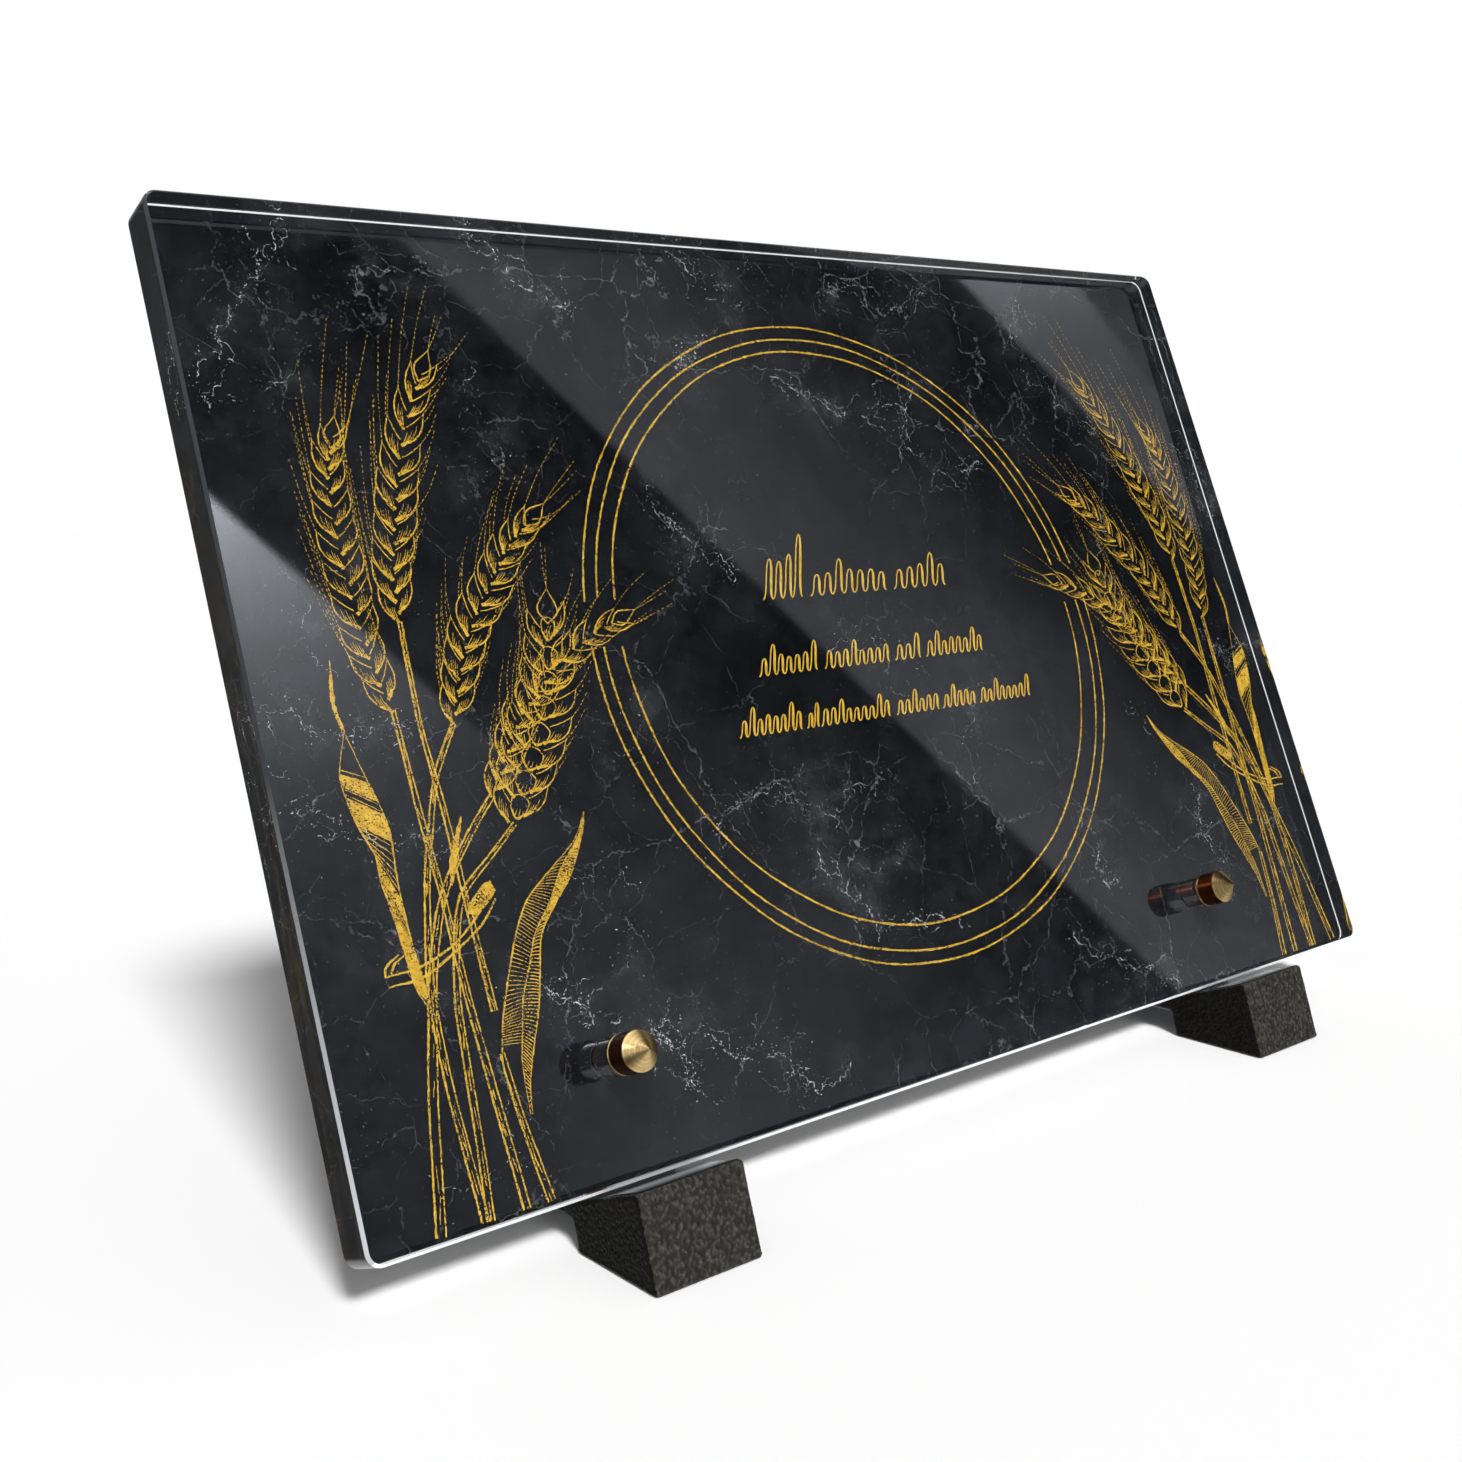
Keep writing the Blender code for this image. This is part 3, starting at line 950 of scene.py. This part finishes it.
goldLook = {
    "seed": 11,
    "ink": (0.40, 0.235, 0.017, 1),
    "pale": (0.52, 0.33, 0.04, 1),
    "grainScale": 2800.0,
    "cover": 0.58,
    "denseCover": 0.80,        # on the rows
}


def goldInk(name, cover):
    return inkMaterial(name, goldLook["ink"], goldLook["pale"], cover, goldLook["grainScale"])


def makeGoldPrint():
    gold = goldInk("gold_ink", goldLook["cover"])
    chance = random.Random(goldLook["seed"])
    pen = []
    for width, points in wheatLook["stems"]:
        addStem(pen, width, points, chance)
    for ear in wheatLook["ears"]:
        addEar(pen, ear, chance)
    addLeaves(pen, chance)
    addTie(pen, chance)
    left = inkObject("wheat_ink_left", wornPen(pen, chance), gold)
    makeActive(left)
    bpy.ops.object.duplicate()
    right = bpy.context.active_object
    right.name = "wheat_ink_right"
    axis = toPrint(vec(*ringLook["centre"])).x * mm
    bpy.ops.transform.mirror(constraint_axis=(True, False, False), center_override=(axis, 0, 0))
    bpy.ops.object.transform_apply(location=True, rotation=True, scale=True)
    selectWhere(right, "FACE", lambda face: face.normal.z < 0)
    bpy.ops.mesh.flip_normals()
    deselectAll()
    pen = []
    addRings(pen, chance)
    rings = inkObject("ring_ink", wornPen(pen, chance), gold)
    pen = []
    addRows(pen, chance)
    rows = inkObject("row_ink", pen, goldInk("gold_ink_dense", goldLook["denseCover"]))
    for ink in (left, right, rings, rows):
        placeOnPlate(ink)
        finishPiece(ink, "printed_plate")
        print(ink.name, len(ink.data.polygons), "faces")


makeGoldPrint()


# Veins of the marble, as crooked threads of pale print

veinLook = {
    "seed": 4,
    "margin": 0.8,             # veins end this far from the print's edge
    "clearOfScrews": 2.6,
    "colour": (0.22, 0.23, 0.235, 1),
    "pale": (0.50, 0.51, 0.52, 1),
    "lines": [
        # width, side branches and points, in millimetres
        (0.34, 7, [(-119, 198), (-126, 191), (-131, 183), (-138, 177), (-142, 171), (-146, 156)]),
        (0.38, 4, [(-83, 197), (-73, 191), (-70, 184), (-64.4, 180.2), (-61, 181.4)]),
        (0.36, 4, [(-36, 166), (-33, 170), (-29, 169), (-25, 173)]),
        (0.36, 8, [(-8, 165), (0, 159.6), (9.6, 154.8), (23, 157.7), (38, 162.5)]),
        (0.24, 6, [(31.7, 157.7), (30, 151), (33, 144.2), (44, 141), (54, 142.3)]),
        (0.36, 6, [(-52, 138.5), (-48, 131), (-43, 124), (-34.6, 115.4)]),
        (0.24, 9, [(-56, 57.7), (-52, 66), (-44, 68), (-34, 67), (-27, 61.5), (-17, 66), (-7.7, 66.5)]),
        (0.42, 8, [(-31, 53.8), (-27, 46), (-21, 37), (-12, 34), (0, 32.7)]),
        (0.42, 6, [(-105, 40), (-101, 36), (-98, 34), (-92.3, 27)]),
        (0.42, 7, [(-84, 26), (-80, 22), (-77, 12.5)]),
        (0.34, 9, [(-84, 26), (-74, 23), (-63.5, 15.4), (-52, 10), (-42.3, 5.8)]),
        (0.28, 6, [(-149, 98), (-141.3, 96), (-136, 92.3), (-128, 92.6), (-120, 90)]),
        (0.30, 6, [(-147, 79), (-139, 74), (-132.7, 72), (-125, 71.2), (-115, 69)]),
        (0.30, 5, [(102, 48), (98, 40), (98, 36.5), (104, 28)]),
        (0.26, 3, [(56, 45), (53.8, 36), (55, 31.5), (60, 31)]),
        (0.26, 5, [(-31, 198), (-23, 189), (-11.5, 183)]),
        (0.20, 6, [(18, 188), (30, 190), (38, 184), (52, 189)]),
        (0.20, 6, [(88, 188), (82, 172), (91, 158), (104, 151)]),
        (0.24, 5, [(136, 150), (143, 141), (140, 128), (147, 116)]),
        (0.26, 6, [(40, 22), (50, 14), (61, 9), (72, 2)]),
        (0.22, 4, [(122, 92), (130, 84), (143, 82)]),
    ],
    "stray": 26,               # short faint threads anywhere
}


def crooked(points, chance, rough=0.30, levels=5):
    # breaks each stretch at its middle again and again, like a crack
    path = [vec(*point) for point in points]
    for _ in range(levels):
        longer = [path[0]]
        for first, second in zip(path, path[1:]):
            across = Vector((first.y - second.y, second.x - first.x))
            middle = first.lerp(second, chance.uniform(0.4, 0.6)) + across * chance.uniform(-rough, rough)
            longer += [middle, second]
        path = longer
    return path


def onPrint(place):
    place = toPrint(place)
    inset = veinLook["margin"]
    if abs(place.x) > plateWidth / mm / 2 - inset or not inset < place.y < plateHeight / mm - inset:
        return False
    hole = plateLook["printHoleRadius"] / mm + veinLook["clearOfScrews"]
    for low, high in screwPlaces.values():
        middle = (low + high) / (2 * mm)
        if (place - vec(middle.x, middle.y)).length < hole:
            return False
    return True


def addVein(pen, path, width, chance):
    # the thread swells and thins, and breaks off here and there
    run = []
    widths = []
    phase = chance.uniform(0, math.tau)
    for index, place in enumerate(path):
        swell = 0.50 + 0.50 * math.sin(index * 0.21 + phase) * math.sin(index * 0.083 + phase * 2)
        seen = swell > 0.34 and onPrint(place)
        if seen:
            run.append(place)
            widths.append(width * swell * chance.uniform(0.3, 1.2))
        if run and (not seen or index == len(path) - 1):
            if len(run) > 2:
                pen.append((run, widths))
            run, widths = [], []


def addBranches(pen, path, count, width, chance):
    for _ in range(count):
        index = chance.randrange(1, len(path) - 1)
        heading = math.atan2(path[index].y - path[index - 1].y, path[index].x - path[index - 1].x)
        heading += chance.choice((-1, 1)) * chance.uniform(0.4, 1.3)
        reach = chance.uniform(2.5, 11)
        start = path[index]
        middle = start + vec(math.cos(heading), math.sin(heading)) * reach * 0.5
        heading += chance.uniform(-0.8, 0.8)
        end = middle + vec(math.cos(heading), math.sin(heading)) * reach * 0.5
        branch = crooked([start, middle, end], chance, 0.34, 4)
        addVein(pen, branch, width * chance.uniform(0.35, 0.8), chance)


def addDust(pen, path, count, spread, chance):
    # grains of pale print beside a vein
    for _ in range(count):
        place = path[chance.randrange(len(path))] + vec(chance.gauss(0, spread), chance.gauss(0, spread))
        if onPrint(place):
            size = chance.uniform(0.08, 0.26)
            turn = chance.uniform(0, math.pi)
            half = vec(math.cos(turn), math.sin(turn)) * size * chance.uniform(0.4, 1.2)
            pen.append(([place - half, place + half], [size, size * 0.6]))


def makeVeinPrint():
    chance = random.Random(veinLook["seed"])
    pen = []
    paths = []
    for width, branches, points in veinLook["lines"]:
        path = crooked(points, chance)
        paths.append(path)
        addVein(pen, path, width, chance)
        addVein(pen, crooked(points, chance, 0.38), width * 0.45, chance)
        addBranches(pen, path, branches, width, chance)
        addDust(pen, path, int(60 * width / 0.3), 1.6, chance)
    wide, tall = plateWidth / mm / 2, plateHeight / mm
    for _ in range(veinLook["stray"]):
        start = vec(chance.uniform(-wide, wide), chance.uniform(0, tall))
        heading = chance.uniform(0, math.tau)
        reach = chance.uniform(8, 26)
        end = start + vec(math.cos(heading), math.sin(heading)) * reach
        path = crooked([start, end], chance, 0.34, 6)
        addVein(pen, path, 0.12, chance)
        addDust(pen, path, 14, 2.5, chance)
        if chance.random() < 0.5:
            paths.append(path)
    makeMarbleFace(paths, marble)
    material = inkMaterial("pale_vein", veinLook["colour"], veinLook["pale"], 0.50, 2200.0)
    veins = inkObject("vein_print", pen, material)
    veins.data.transform(Matrix.Translation((0, 0, -inkLook["lift"] * 0.6)))
    placeOnPlate(veins)
    finishPiece(veins, "printed_plate")
    print("vein_print", len(veins.data.polygons), "faces")


makeVeinPrint()


# Brass screws

screwLook = {
    "steps": 128,
    "baseGap": 0.0003,         # between the head and the plate
    "coneHeight": 0.0034,
    "grooveRise": 0.0006,
    "grooveWidth": 0.0004,
    "grooveDepth": 0.00025,
    "rimChamfer": 0.00015,
    "shankRadius": 0.0033,
    "threadRadius": 0.0025,
    "brass": (0.60, 0.42, 0.17, 1),
    "worn": (0.70, 0.53, 0.25, 1),
    "side": (0.24, 0.060, 0.018, 1),      # painted dark reflection: the head's side and the shank are coloured dark reddish brown
    "tint": (2500.0, 3.0, 0.55, 0.35, 0.65),
    "roughness": (0.14, 0.24),
}


def screwProfile(low, high):
    # (radius, height above the plate's face), from the cone's point down
    look = screwLook
    head = (high.x - low.x) / 2
    base = look["baseGap"]
    groove = base + look["grooveRise"]
    wide = look["grooveWidth"]
    deep = look["grooveDepth"]
    rim = high.z - look["coneHeight"]
    soft = look["rimChamfer"]
    return [
        (0.0, high.z), (0.00018, high.z - 0.00006), (head - soft, rim), (head - soft * 0.3, rim - soft * 0.4),
        (head, rim - soft), (head, groove + wide / 2), (head - deep * 0.8, groove + wide / 5),
        (head - deep, groove), (head - deep * 0.8, groove - wide / 5), (head, groove - wide / 2),
        (head, base + soft), (head - soft, base), (look["shankRadius"], base),
        (look["shankRadius"], -plateThickness), (look["threadRadius"], -plateThickness),
        (look["threadRadius"], low.z), (0.0, low.z),
    ]


def brassMaterial(name, place, rim):
    # fine turning marks run round the screw's own axis
    material, tree, shader = newMaterial(name, 0.3, 1.0)
    setInputs(shader, {"Base Color": screwLook["brass"]})
    turn = (plateLook["lean"] - math.radians(90), 0, 0)
    origin = rowToPlate.to_3x3() @ (plateToRow @ Vector((place.x, place.y, 0)))
    onAxis = addNode(tree, "Mapping", {"Vector": objectPoint(tree), "Location": -origin, "Rotation": turn})
    split = addNode(tree, "SeparateXYZ", {"Vector": onAxis.outputs[0]})
    flat = addNode(tree, "CombineXYZ", {"X": split.outputs["X"], "Y": split.outputs["Y"]})
    radius = vectorMath(tree, "LENGTH", flat.outputs[0], (0, 0, 0), "Value")
    marks = addNode(tree, "CombineXYZ", {"X": radius, "Y": split.outputs["Z"]}).outputs[0]
    rings = noise(tree, marks, 9000.0, 3.0, 0.7)
    tint = clouds(tree, marks, screwLook["tint"])
    colour = mixColour(tree, tint, screwLook["brass"], screwLook["worn"])
    height = split.outputs["Z"]
    # painted dark reflection: below the cone's rim the head's side and the shank take the dark colour, all
    # but the groove's ring
    groove = screwLook["baseGap"] + screwLook["grooveRise"]
    fromRing = math2(tree, "ABSOLUTE", minus(tree, height, groove))
    dark = times(tree, between(tree, height, rim - 0.00012, rim - 0.00002, 1.0, 0.0),
                 between(tree, fromRing, screwLook["grooveWidth"] * 0.5, screwLook["grooveWidth"] * 0.8))
    bump = addNode(tree, "Bump", {"Height": rings, "Strength": 0.35, "Distance": 0.00002})
    setInputs(shader, {
        "Base Color": mixColour(tree, dark, colour, screwLook["side"]),
        "Roughness": between(tree, rings, 0.3, 0.7, *screwLook["roughness"]),
        "Normal": bump.outputs[0],
    })
    return material


def makeScrew(nodeName):
    low, high = screwPlaces[nodeName]
    middle = (low + high) / 2
    deselectAll()
    bpy.ops.mesh.primitive_plane_add(size=0.001, location=(0, 0, 0))
    screw = bpy.context.active_object
    screw.name = nodeName + "_turned"
    work = bmesh.new()
    rows = [work.verts.new((radius, 0, height)) for radius, height in screwProfile(low, high)]
    for upper, lower in zip(rows, rows[1:]):
        work.edges.new((upper, lower))
    work.to_mesh(screw.data)
    work.free()
    selectWhere(screw, "VERT", lambda vertex: True)
    bpy.ops.mesh.spin(steps=screwLook["steps"], angle=math.tau, center=(0, 0, 0), axis=(0, 0, 1))
    bpy.ops.mesh.select_all(action="SELECT")
    bpy.ops.mesh.remove_doubles(threshold=weldGap / 4)
    bpy.ops.mesh.normals_make_consistent(inside=False)
    bpy.ops.object.mode_set(mode="OBJECT")
    bpy.ops.object.shade_smooth_by_angle(angle=smoothAngle)
    screw.data.transform(Matrix.Translation((middle.x, middle.y, 0)))
    rim = high.z - screwLook["coneHeight"]
    screw.data.materials.append(brassMaterial("brass_" + nodeName, middle, rim))
    placeOnPlate(screw)
    finishPiece(screw, "brass", nodeName)
    print(screw.name, len(screw.data.polygons), "faces")


for screwName in screwPlaces:
    makeScrew(screwName)


# Stone feet: rough where they show, polished on the toe's top and the seat

footLook = {
    "voxel": 0.00045,
    "bumpSize": 0.0009,
    "bumpDepth": 0.00012,
    "pitSize": 0.0030,
    "pitDepth": 0.00014,
    "flatBelow": 0.0009,       # the stone keeps its exact faces this far up from the ground
    "leatherScale": 1150.0,
    "cloud": (900.0, 6.0, 0.75, 0.35, 0.7),
    "wear": (1800.0, 4.0, 0.55, 0.3, 0.7),
    "roughness": (0.34, 0.60),
    "polishedRoughness": 0.12,
    "leatherDepth": 0.0006,
    "polished": (0.016, 0.020, 0.026, 1),
    # deep and crest: colour in the hollows and on the lumps; the darker hollows are painted shade
    "front": {"deep": (0.014, 0.0135, 0.011, 1), "crest": (0.082, 0.078, 0.064, 1), "gloss": 0.5},
    # the side faces: a finer, less glossy finish, and a colour far darker than the front's, which is painted
    # shade
    "side": {"deep": (0.0030, 0.0026, 0.0021, 1), "crest": (0.0085, 0.0072, 0.0060, 1), "gloss": 0.12},
}


def stoneMaterial(name, look):
    # leathered, and polished where the foot's attribute says so
    material, tree, shader = newMaterial(name, 0.6, gloss=look["gloss"])
    point = objectPoint(tree)
    polish = addNode(tree, "Attribute", attribute_name="polish").outputs["Fac"]
    leather = addNode(tree, "TexVoronoi", {"Vector": point, "Scale": footLook["leatherScale"],
                                           "Randomness": 1.0}, feature="SMOOTH_F1")
    lumps = between(tree, leather.outputs["Distance"], 0.12, 0.62, 1.0, 0.0)
    cloud = clouds(tree, point, footLook["cloud"], 0.35, 1.0)
    # painted shade: the hollows between the lumps take the dark colour and the crests the light one, over the
    # stone's own cloudy tone
    stone = mixColour(tree, times(tree, cloud, lumps), look["deep"], look["crest"])
    rough = clouds(tree, point, footLook["wear"], *footLook["roughness"])
    height = plus(tree, lumps, times(tree, noise(tree, point, 3000.0, 5.0, 0.7), 0.5))
    height = times(tree, height, between(tree, polish, 0.0, 1.0, 1.0, 0.0))
    bump = addNode(tree, "Bump", {"Height": height, "Strength": 1.0, "Distance": footLook["leatherDepth"]})
    setInputs(shader, {
        "Base Color": mixColour(tree, polish, stone, footLook["polished"]),
        "Roughness": mixValue(tree, polish, rough, footLook["polishedRoughness"]),
        "Normal": bump.outputs[0],
    })
    return material


def cloudTexture(name, size):
    texture = bpy.data.textures.new(name, "CLOUDS")
    texture.noise_scale = size
    texture.noise_depth = 2
    return texture


def makeFoot(nodeName, materials):
    foot = bpy.data.objects.new(nodeName + "_stone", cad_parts[nodeName].data.copy())
    bpy.context.collection.objects.link(foot)
    selectWhere(foot, "VERT", lambda vertex: True)
    bpy.ops.mesh.remove_doubles(threshold=weldGap)
    exact = bpy.data.objects.new(nodeName + "_exact", foot.data.copy())
    bpy.context.collection.objects.link(exact)
    applyModifier(foot, "REMESH", mode="VOXEL", voxel_size=footLook["voxel"], adaptivity=0.0)
    applyModifier(foot, "SHRINKWRAP", target=exact, wrap_method="NEAREST_SURFACEPOINT")
    bpy.data.objects.remove(exact, do_unlink=True)
    facing = plateToRow.to_3x3()
    upPlate = facing @ Vector((0, 1, 0))
    outPlate = facing @ Vector((0, 0, 1))
    low, high = boxIn(foot, Matrix.Identity(4))
    polish = foot.data.attributes.new("polish", "FLOAT", "POINT")
    rough = foot.vertex_groups.new(name="rough")
    for vertex, value in zip(foot.data.vertices, polish.data):
        smooth = 0.0
        onSeat = vertex.normal.dot(outPlate) > 0.97 and (rowToPlate @ vertex.co).z < -plateThickness / 2
        if onSeat or vertex.normal.dot(upPlate) > 0.97 or vertex.normal.z < -0.97:
            smooth = 1.0
        value.value = smooth
        if vertex.co.z < low.z + footLook["flatBelow"]:
            smooth = 1.0
        rough.add([vertex.index], 1.0 - smooth, "REPLACE")
    # the side faces take the material with the painted shade
    onSide = [abs(face.normal.x) > 0.6 for face in foot.data.polygons]
    for kind in ("bump", "pit"):
        applyModifier(foot, "DISPLACE", texture=cloudTexture(kind + "s", footLook[kind + "Size"]),
                      vertex_group="rough", texture_coords="LOCAL", strength=footLook[kind + "Depth"],
                      mid_level=1.0)
    makeActive(foot)
    bpy.ops.object.shade_smooth()
    foot.data.materials.clear()
    for material in materials:
        foot.data.materials.append(material)
    for face, isShadedSide in zip(foot.data.polygons, onSide):
        face.material_index = 1 if isShadedSide else 0
    finishPiece(foot, "granite", nodeName)
    print(foot.name, len(foot.data.polygons), "faces")


granite = [stoneMaterial("granite_front", footLook["front"]), stoneMaterial("granite_side_painted_shade", footLook["side"])]
for footName in ("foot_left", "foot_right"):
    makeFoot(footName, granite)


# Floor, sheen card, lamps, world and camera

studioLook = {
    "floorSize": 24.0,
    "floorColour": (0.86, 0.86, 0.86, 1),
    "sunStrength": 3.9,
    "sunSoftness": math.radians(11),
    "sunFrom": Vector((-0.36, -0.96, 1.0)),
    "ambient": 0.30,
    "aroundGloss": 0.30,       # what gloss reflects at the sides
    "aboveGloss": 1.6,         # the bright ceiling
    "belowGloss": 0.9,         # the floor
    "patches": [
        # where gloss sees something else: direction, cosines at its soft edge, level
        {"from": (-0.584, -0.429, 0.688), "edge": (0.980, 0.992), "level": 9.0},   # the cones' bright wedge
        {"from": (-0.62, -0.76, -0.20), "edge": (0.955, 0.985), "level": 0.06},    # the dark one below it
        {"from": (-0.62, -0.65, 0.41), "edge": (0.955, 0.985), "level": 0.9},      # the right edge
        {"from": (-0.62, 0.78, -0.12), "edge": (0.75, 0.90), "level": 0.09},       # the plate's left side
        {"from": (0.62, -0.66, 0.42), "edge": (0.60, 0.80), "level": 0.02},        # the plate's face
    ],
    "cardDistance": 0.9,
}

cameraLook = {
    "place": (-0.2680, -0.2803, 0.1410),
    "turn": (math.radians(83.421), math.radians(1.831), math.radians(-38.808)),
    "lens": 41.517,
    "shiftY": -0.02855,
}


def makeCamera():
    camera = bpy.data.objects.new("camera", bpy.data.cameras.new("camera"))
    bpy.context.scene.collection.objects.link(camera)
    camera.location = cameraLook["place"]
    camera.rotation_euler = cameraLook["turn"]
    camera.data.sensor_width = 36
    camera.data.lens = cameraLook["lens"]
    camera.data.shift_y = cameraLook["shiftY"]
    camera.data.clip_start = 0.01
    bpy.context.scene.camera = camera


def makeFloor():
    deselectAll()
    bpy.ops.mesh.primitive_plane_add(size=studioLook["floorSize"], location=(0, 0, 0))
    floor = bpy.context.active_object
    floor.name = "floor"
    material, tree, shader = newMaterial("pale_floor", 0.9, gloss=0.0)
    setInputs(shader, {"Base Color": studioLook["floorColour"]})
    floor.data.materials.append(material)
    floor.visible_glossy = False


# Light on the card, by the place in millimetres on the plate where it is seen mirrored
sheenLook = {
    "colour": (0.95, 0.98, 1.06, 1),
    "grow": 1.00677,           # as for the print's drawing, for the path to the print and back
    "shift": (2.245, -0.096),
    "mirror": 0.037,           # share of the card's light that the plate sends back
    "edge": (-1.0, 1.5),
    "diagonal": {"from": (-103.8, 200.0), "to": (69.0, 2.0), "level": 0.034, "lower": 0.15, "reach": 92.0,
                 "before": 0.004, "beforeFrom": (-15.0, -45.0)},
    "right": {"from": (61.5, 200.0), "to": (146.0, 107.7), "near": 0.050, "far": 0.026, "reach": 42.0},
    "corner": {"from": (113.0, 200.0), "to": (126.4, 178.8), "level": 0.080, "reach": 13.0,
               "top": 195.0, "most": 1.3},
    "left": {"from": (-115.4, 100.0), "to": (-150.0, 139.4), "level": 0.455, "centre": (-150.0, 140.0),
             "reach": 22.0},
    "glow": {"centre": (-72.0, 0.0), "size": (57.0, 52.0), "level": 0.024},
}


def sideOf(tree, where, line):
    # millimetres to the right of a line
    start, end = vec(*line["from"]), vec(*line["to"])
    along = (end - start).normalized()
    right = vec(-along.y, along.x)
    across = plus(tree, times(tree, where["X"], right.x),
                   times(tree, where["Y"], right.y))
    return minus(tree, across, start.dot(right))


def onSide(tree, side):
    # a narrow step, from 0 left of the line to 1 right of it
    return between(tree, side, *sheenLook["edge"])


def fading(tree, distance, reach):
    return math2(tree, "EXPONENT", math2(tree, "DIVIDE", distance, -reach))


def sheenLevel(tree, marked):
    look = sheenLook
    moved = vectorMath(tree, "SUBTRACT", marked, (*look["shift"], 0))
    seenAt = scaleVector(tree, moved, 1 / look["grow"])
    where = addNode(tree, "SeparateXYZ", {"Vector": seenAt}).outputs

    band = look["diagonal"]
    side = sideOf(tree, where, band)
    low = between(tree, where["Y"], 0.0, plateHeight / mm, 1 + band["lower"], 1.0)
    level = times(tree, between(tree, side, 0.0, band["reach"], band["level"], 0.0), low)
    total = times(tree, onSide(tree, side), level)
    total = plus(tree, total, between(tree, side, *band["beforeFrom"], 0.0, band["before"]))

    band = look["right"]
    side = sideOf(tree, where, band)
    level = between(tree, side, 5.0, band["reach"], band["near"], band["far"])
    total = plus(tree, total, times(tree, onSide(tree, side), level))

    spot = look["corner"]
    below = times(tree, sideOf(tree, where, spot), -1.0)
    level = fading(tree, minus(tree, spot["top"], where["Y"]), spot["reach"])
    level = times(tree, math2(tree, "MINIMUM", level, spot["most"]), spot["level"])
    inside = times(tree, onSide(tree, side), onSide(tree, below))
    total = plus(tree, total, times(tree, inside, level))

    spot = look["left"]
    away = vectorMath(tree, "DISTANCE", seenAt, (*spot["centre"], 0), "Value")
    level = times(tree, fading(tree, away, spot["reach"]), spot["level"])
    total = plus(tree, total, times(tree, onSide(tree, sideOf(tree, where, spot)), level))

    spot = look["glow"]
    centred = vectorMath(tree, "SUBTRACT", seenAt, (*spot["centre"], 0))
    scaled = vectorMath(tree, "DIVIDE", centred, (*spot["size"], 1))
    square = vectorMath(tree, "DOT_PRODUCT", scaled, scaled, "Value")
    level = math2(tree, "EXPONENT", times(tree, square, -1.0))
    return plus(tree, total, times(tree, level, spot["level"]))


def makeCard():
    # seen only mirrored in the print: a card level with the plate, where the camera's mirror image looks
    eye = rowToPlate @ Vector(cameraLook["place"])
    mirrored = Vector((eye.x, eye.y, -eye.z))
    grow = (studioLook["cardDistance"] - mirrored.z) / -mirrored.z
    deselectAll()
    bpy.ops.mesh.primitive_plane_add(size=1.0, location=(0, plateHeight / 2, 0),
                                     scale=(plateWidth * 1.6, plateHeight * 1.8, 1))
    card = bpy.context.active_object
    card.name = "sheen_card"
    bpy.ops.object.transform_apply(location=True, rotation=True, scale=True)
    marks = card.data.uv_layers.new(name="onPlate")
    for loop in card.data.loops:
        place = card.data.vertices[loop.vertex_index].co
        marks.data[loop.index].uv = (place.x / mm, place.y / mm)
    for vertex in card.data.vertices:
        vertex.co = mirrored + (vertex.co - mirrored) * grow
    material = bpy.data.materials.new("sheen_card")
    material.use_nodes = True
    tree = material.node_tree
    tree.nodes.clear()
    marked = addNode(tree, "UVMap", uv_map="onPlate").outputs[0]
    level = math2(tree, "DIVIDE", sheenLevel(tree, marked), sheenLook["mirror"])
    matte = addNode(tree, "LightPath").outputs["Diffuse Depth"]
    level = times(tree, level, math2(tree, "LESS_THAN", matte, 0.5))
    light = addNode(tree, "Emission", {"Color": sheenLook["colour"], "Strength": level}).outputs[0]
    addNode(tree, "OutputMaterial", {"Surface": light})
    card.data.materials.append(material)
    placeOnPlate(card)
    for kind in ("camera", "diffuse", "glossy", "volume_scatter", "shadow"):
        setattr(card, "visible_" + kind, False)


def makeSun():
    sun = bpy.data.objects.new("key_light", bpy.data.lights.new("key_light", "SUN"))
    bpy.context.scene.collection.objects.link(sun)
    sun.data.energy = studioLook["sunStrength"]
    sun.data.angle = studioLook["sunSoftness"]
    sun.rotation_euler = studioLook["sunFrom"].to_track_quat("Z", "Y").to_euler()
    sun.visible_glossy = False     # no disc of light in the mirroring plate


def makeWorld():
    world = bpy.data.worlds.new("studio")
    bpy.context.scene.world = world
    world.use_nodes = True
    tree = world.node_tree
    tree.nodes.clear()
    rays = addNode(tree, "LightPath").outputs
    heading = addNode(tree, "TexCoord").outputs["Generated"]
    height = addNode(tree, "SeparateXYZ", {"Vector": heading}).outputs["Z"]
    level = between(tree, height, 0.72, 0.90, studioLook["aroundGloss"], studioLook["aboveGloss"])
    level = mixValue(tree, between(tree, height, -0.40, -0.62), level, studioLook["belowGloss"])
    for patch in studioLook["patches"]:
        direction = Vector(patch["from"]).normalized()
        toward = vectorMath(tree, "DOT_PRODUCT", heading, direction, "Value")
        level = mixValue(tree, between(tree, toward, *patch["edge"]), level, patch["level"])
    white = (1, 1, 1, 1)
    seen, ambient, mirror = [addNode(tree, "Background", {"Color": white, "Strength": strength}).outputs[0]
                             for strength in (1.0, studioLook["ambient"], level)]
    lit = addNode(tree, "MixShader", {0: rays["Is Glossy Ray"], 1: ambient, 2: mirror}).outputs[0]
    whole = addNode(tree, "MixShader", {0: rays["Is Camera Ray"], 1: lit, 2: seen}).outputs[0]
    addNode(tree, "OutputWorld", {"Surface": whole})


makeCamera()
makeFloor()
makeCard()
makeSun()
makeWorld()
bpy.context.scene.view_settings.view_transform = "Standard"
print("studio ready")
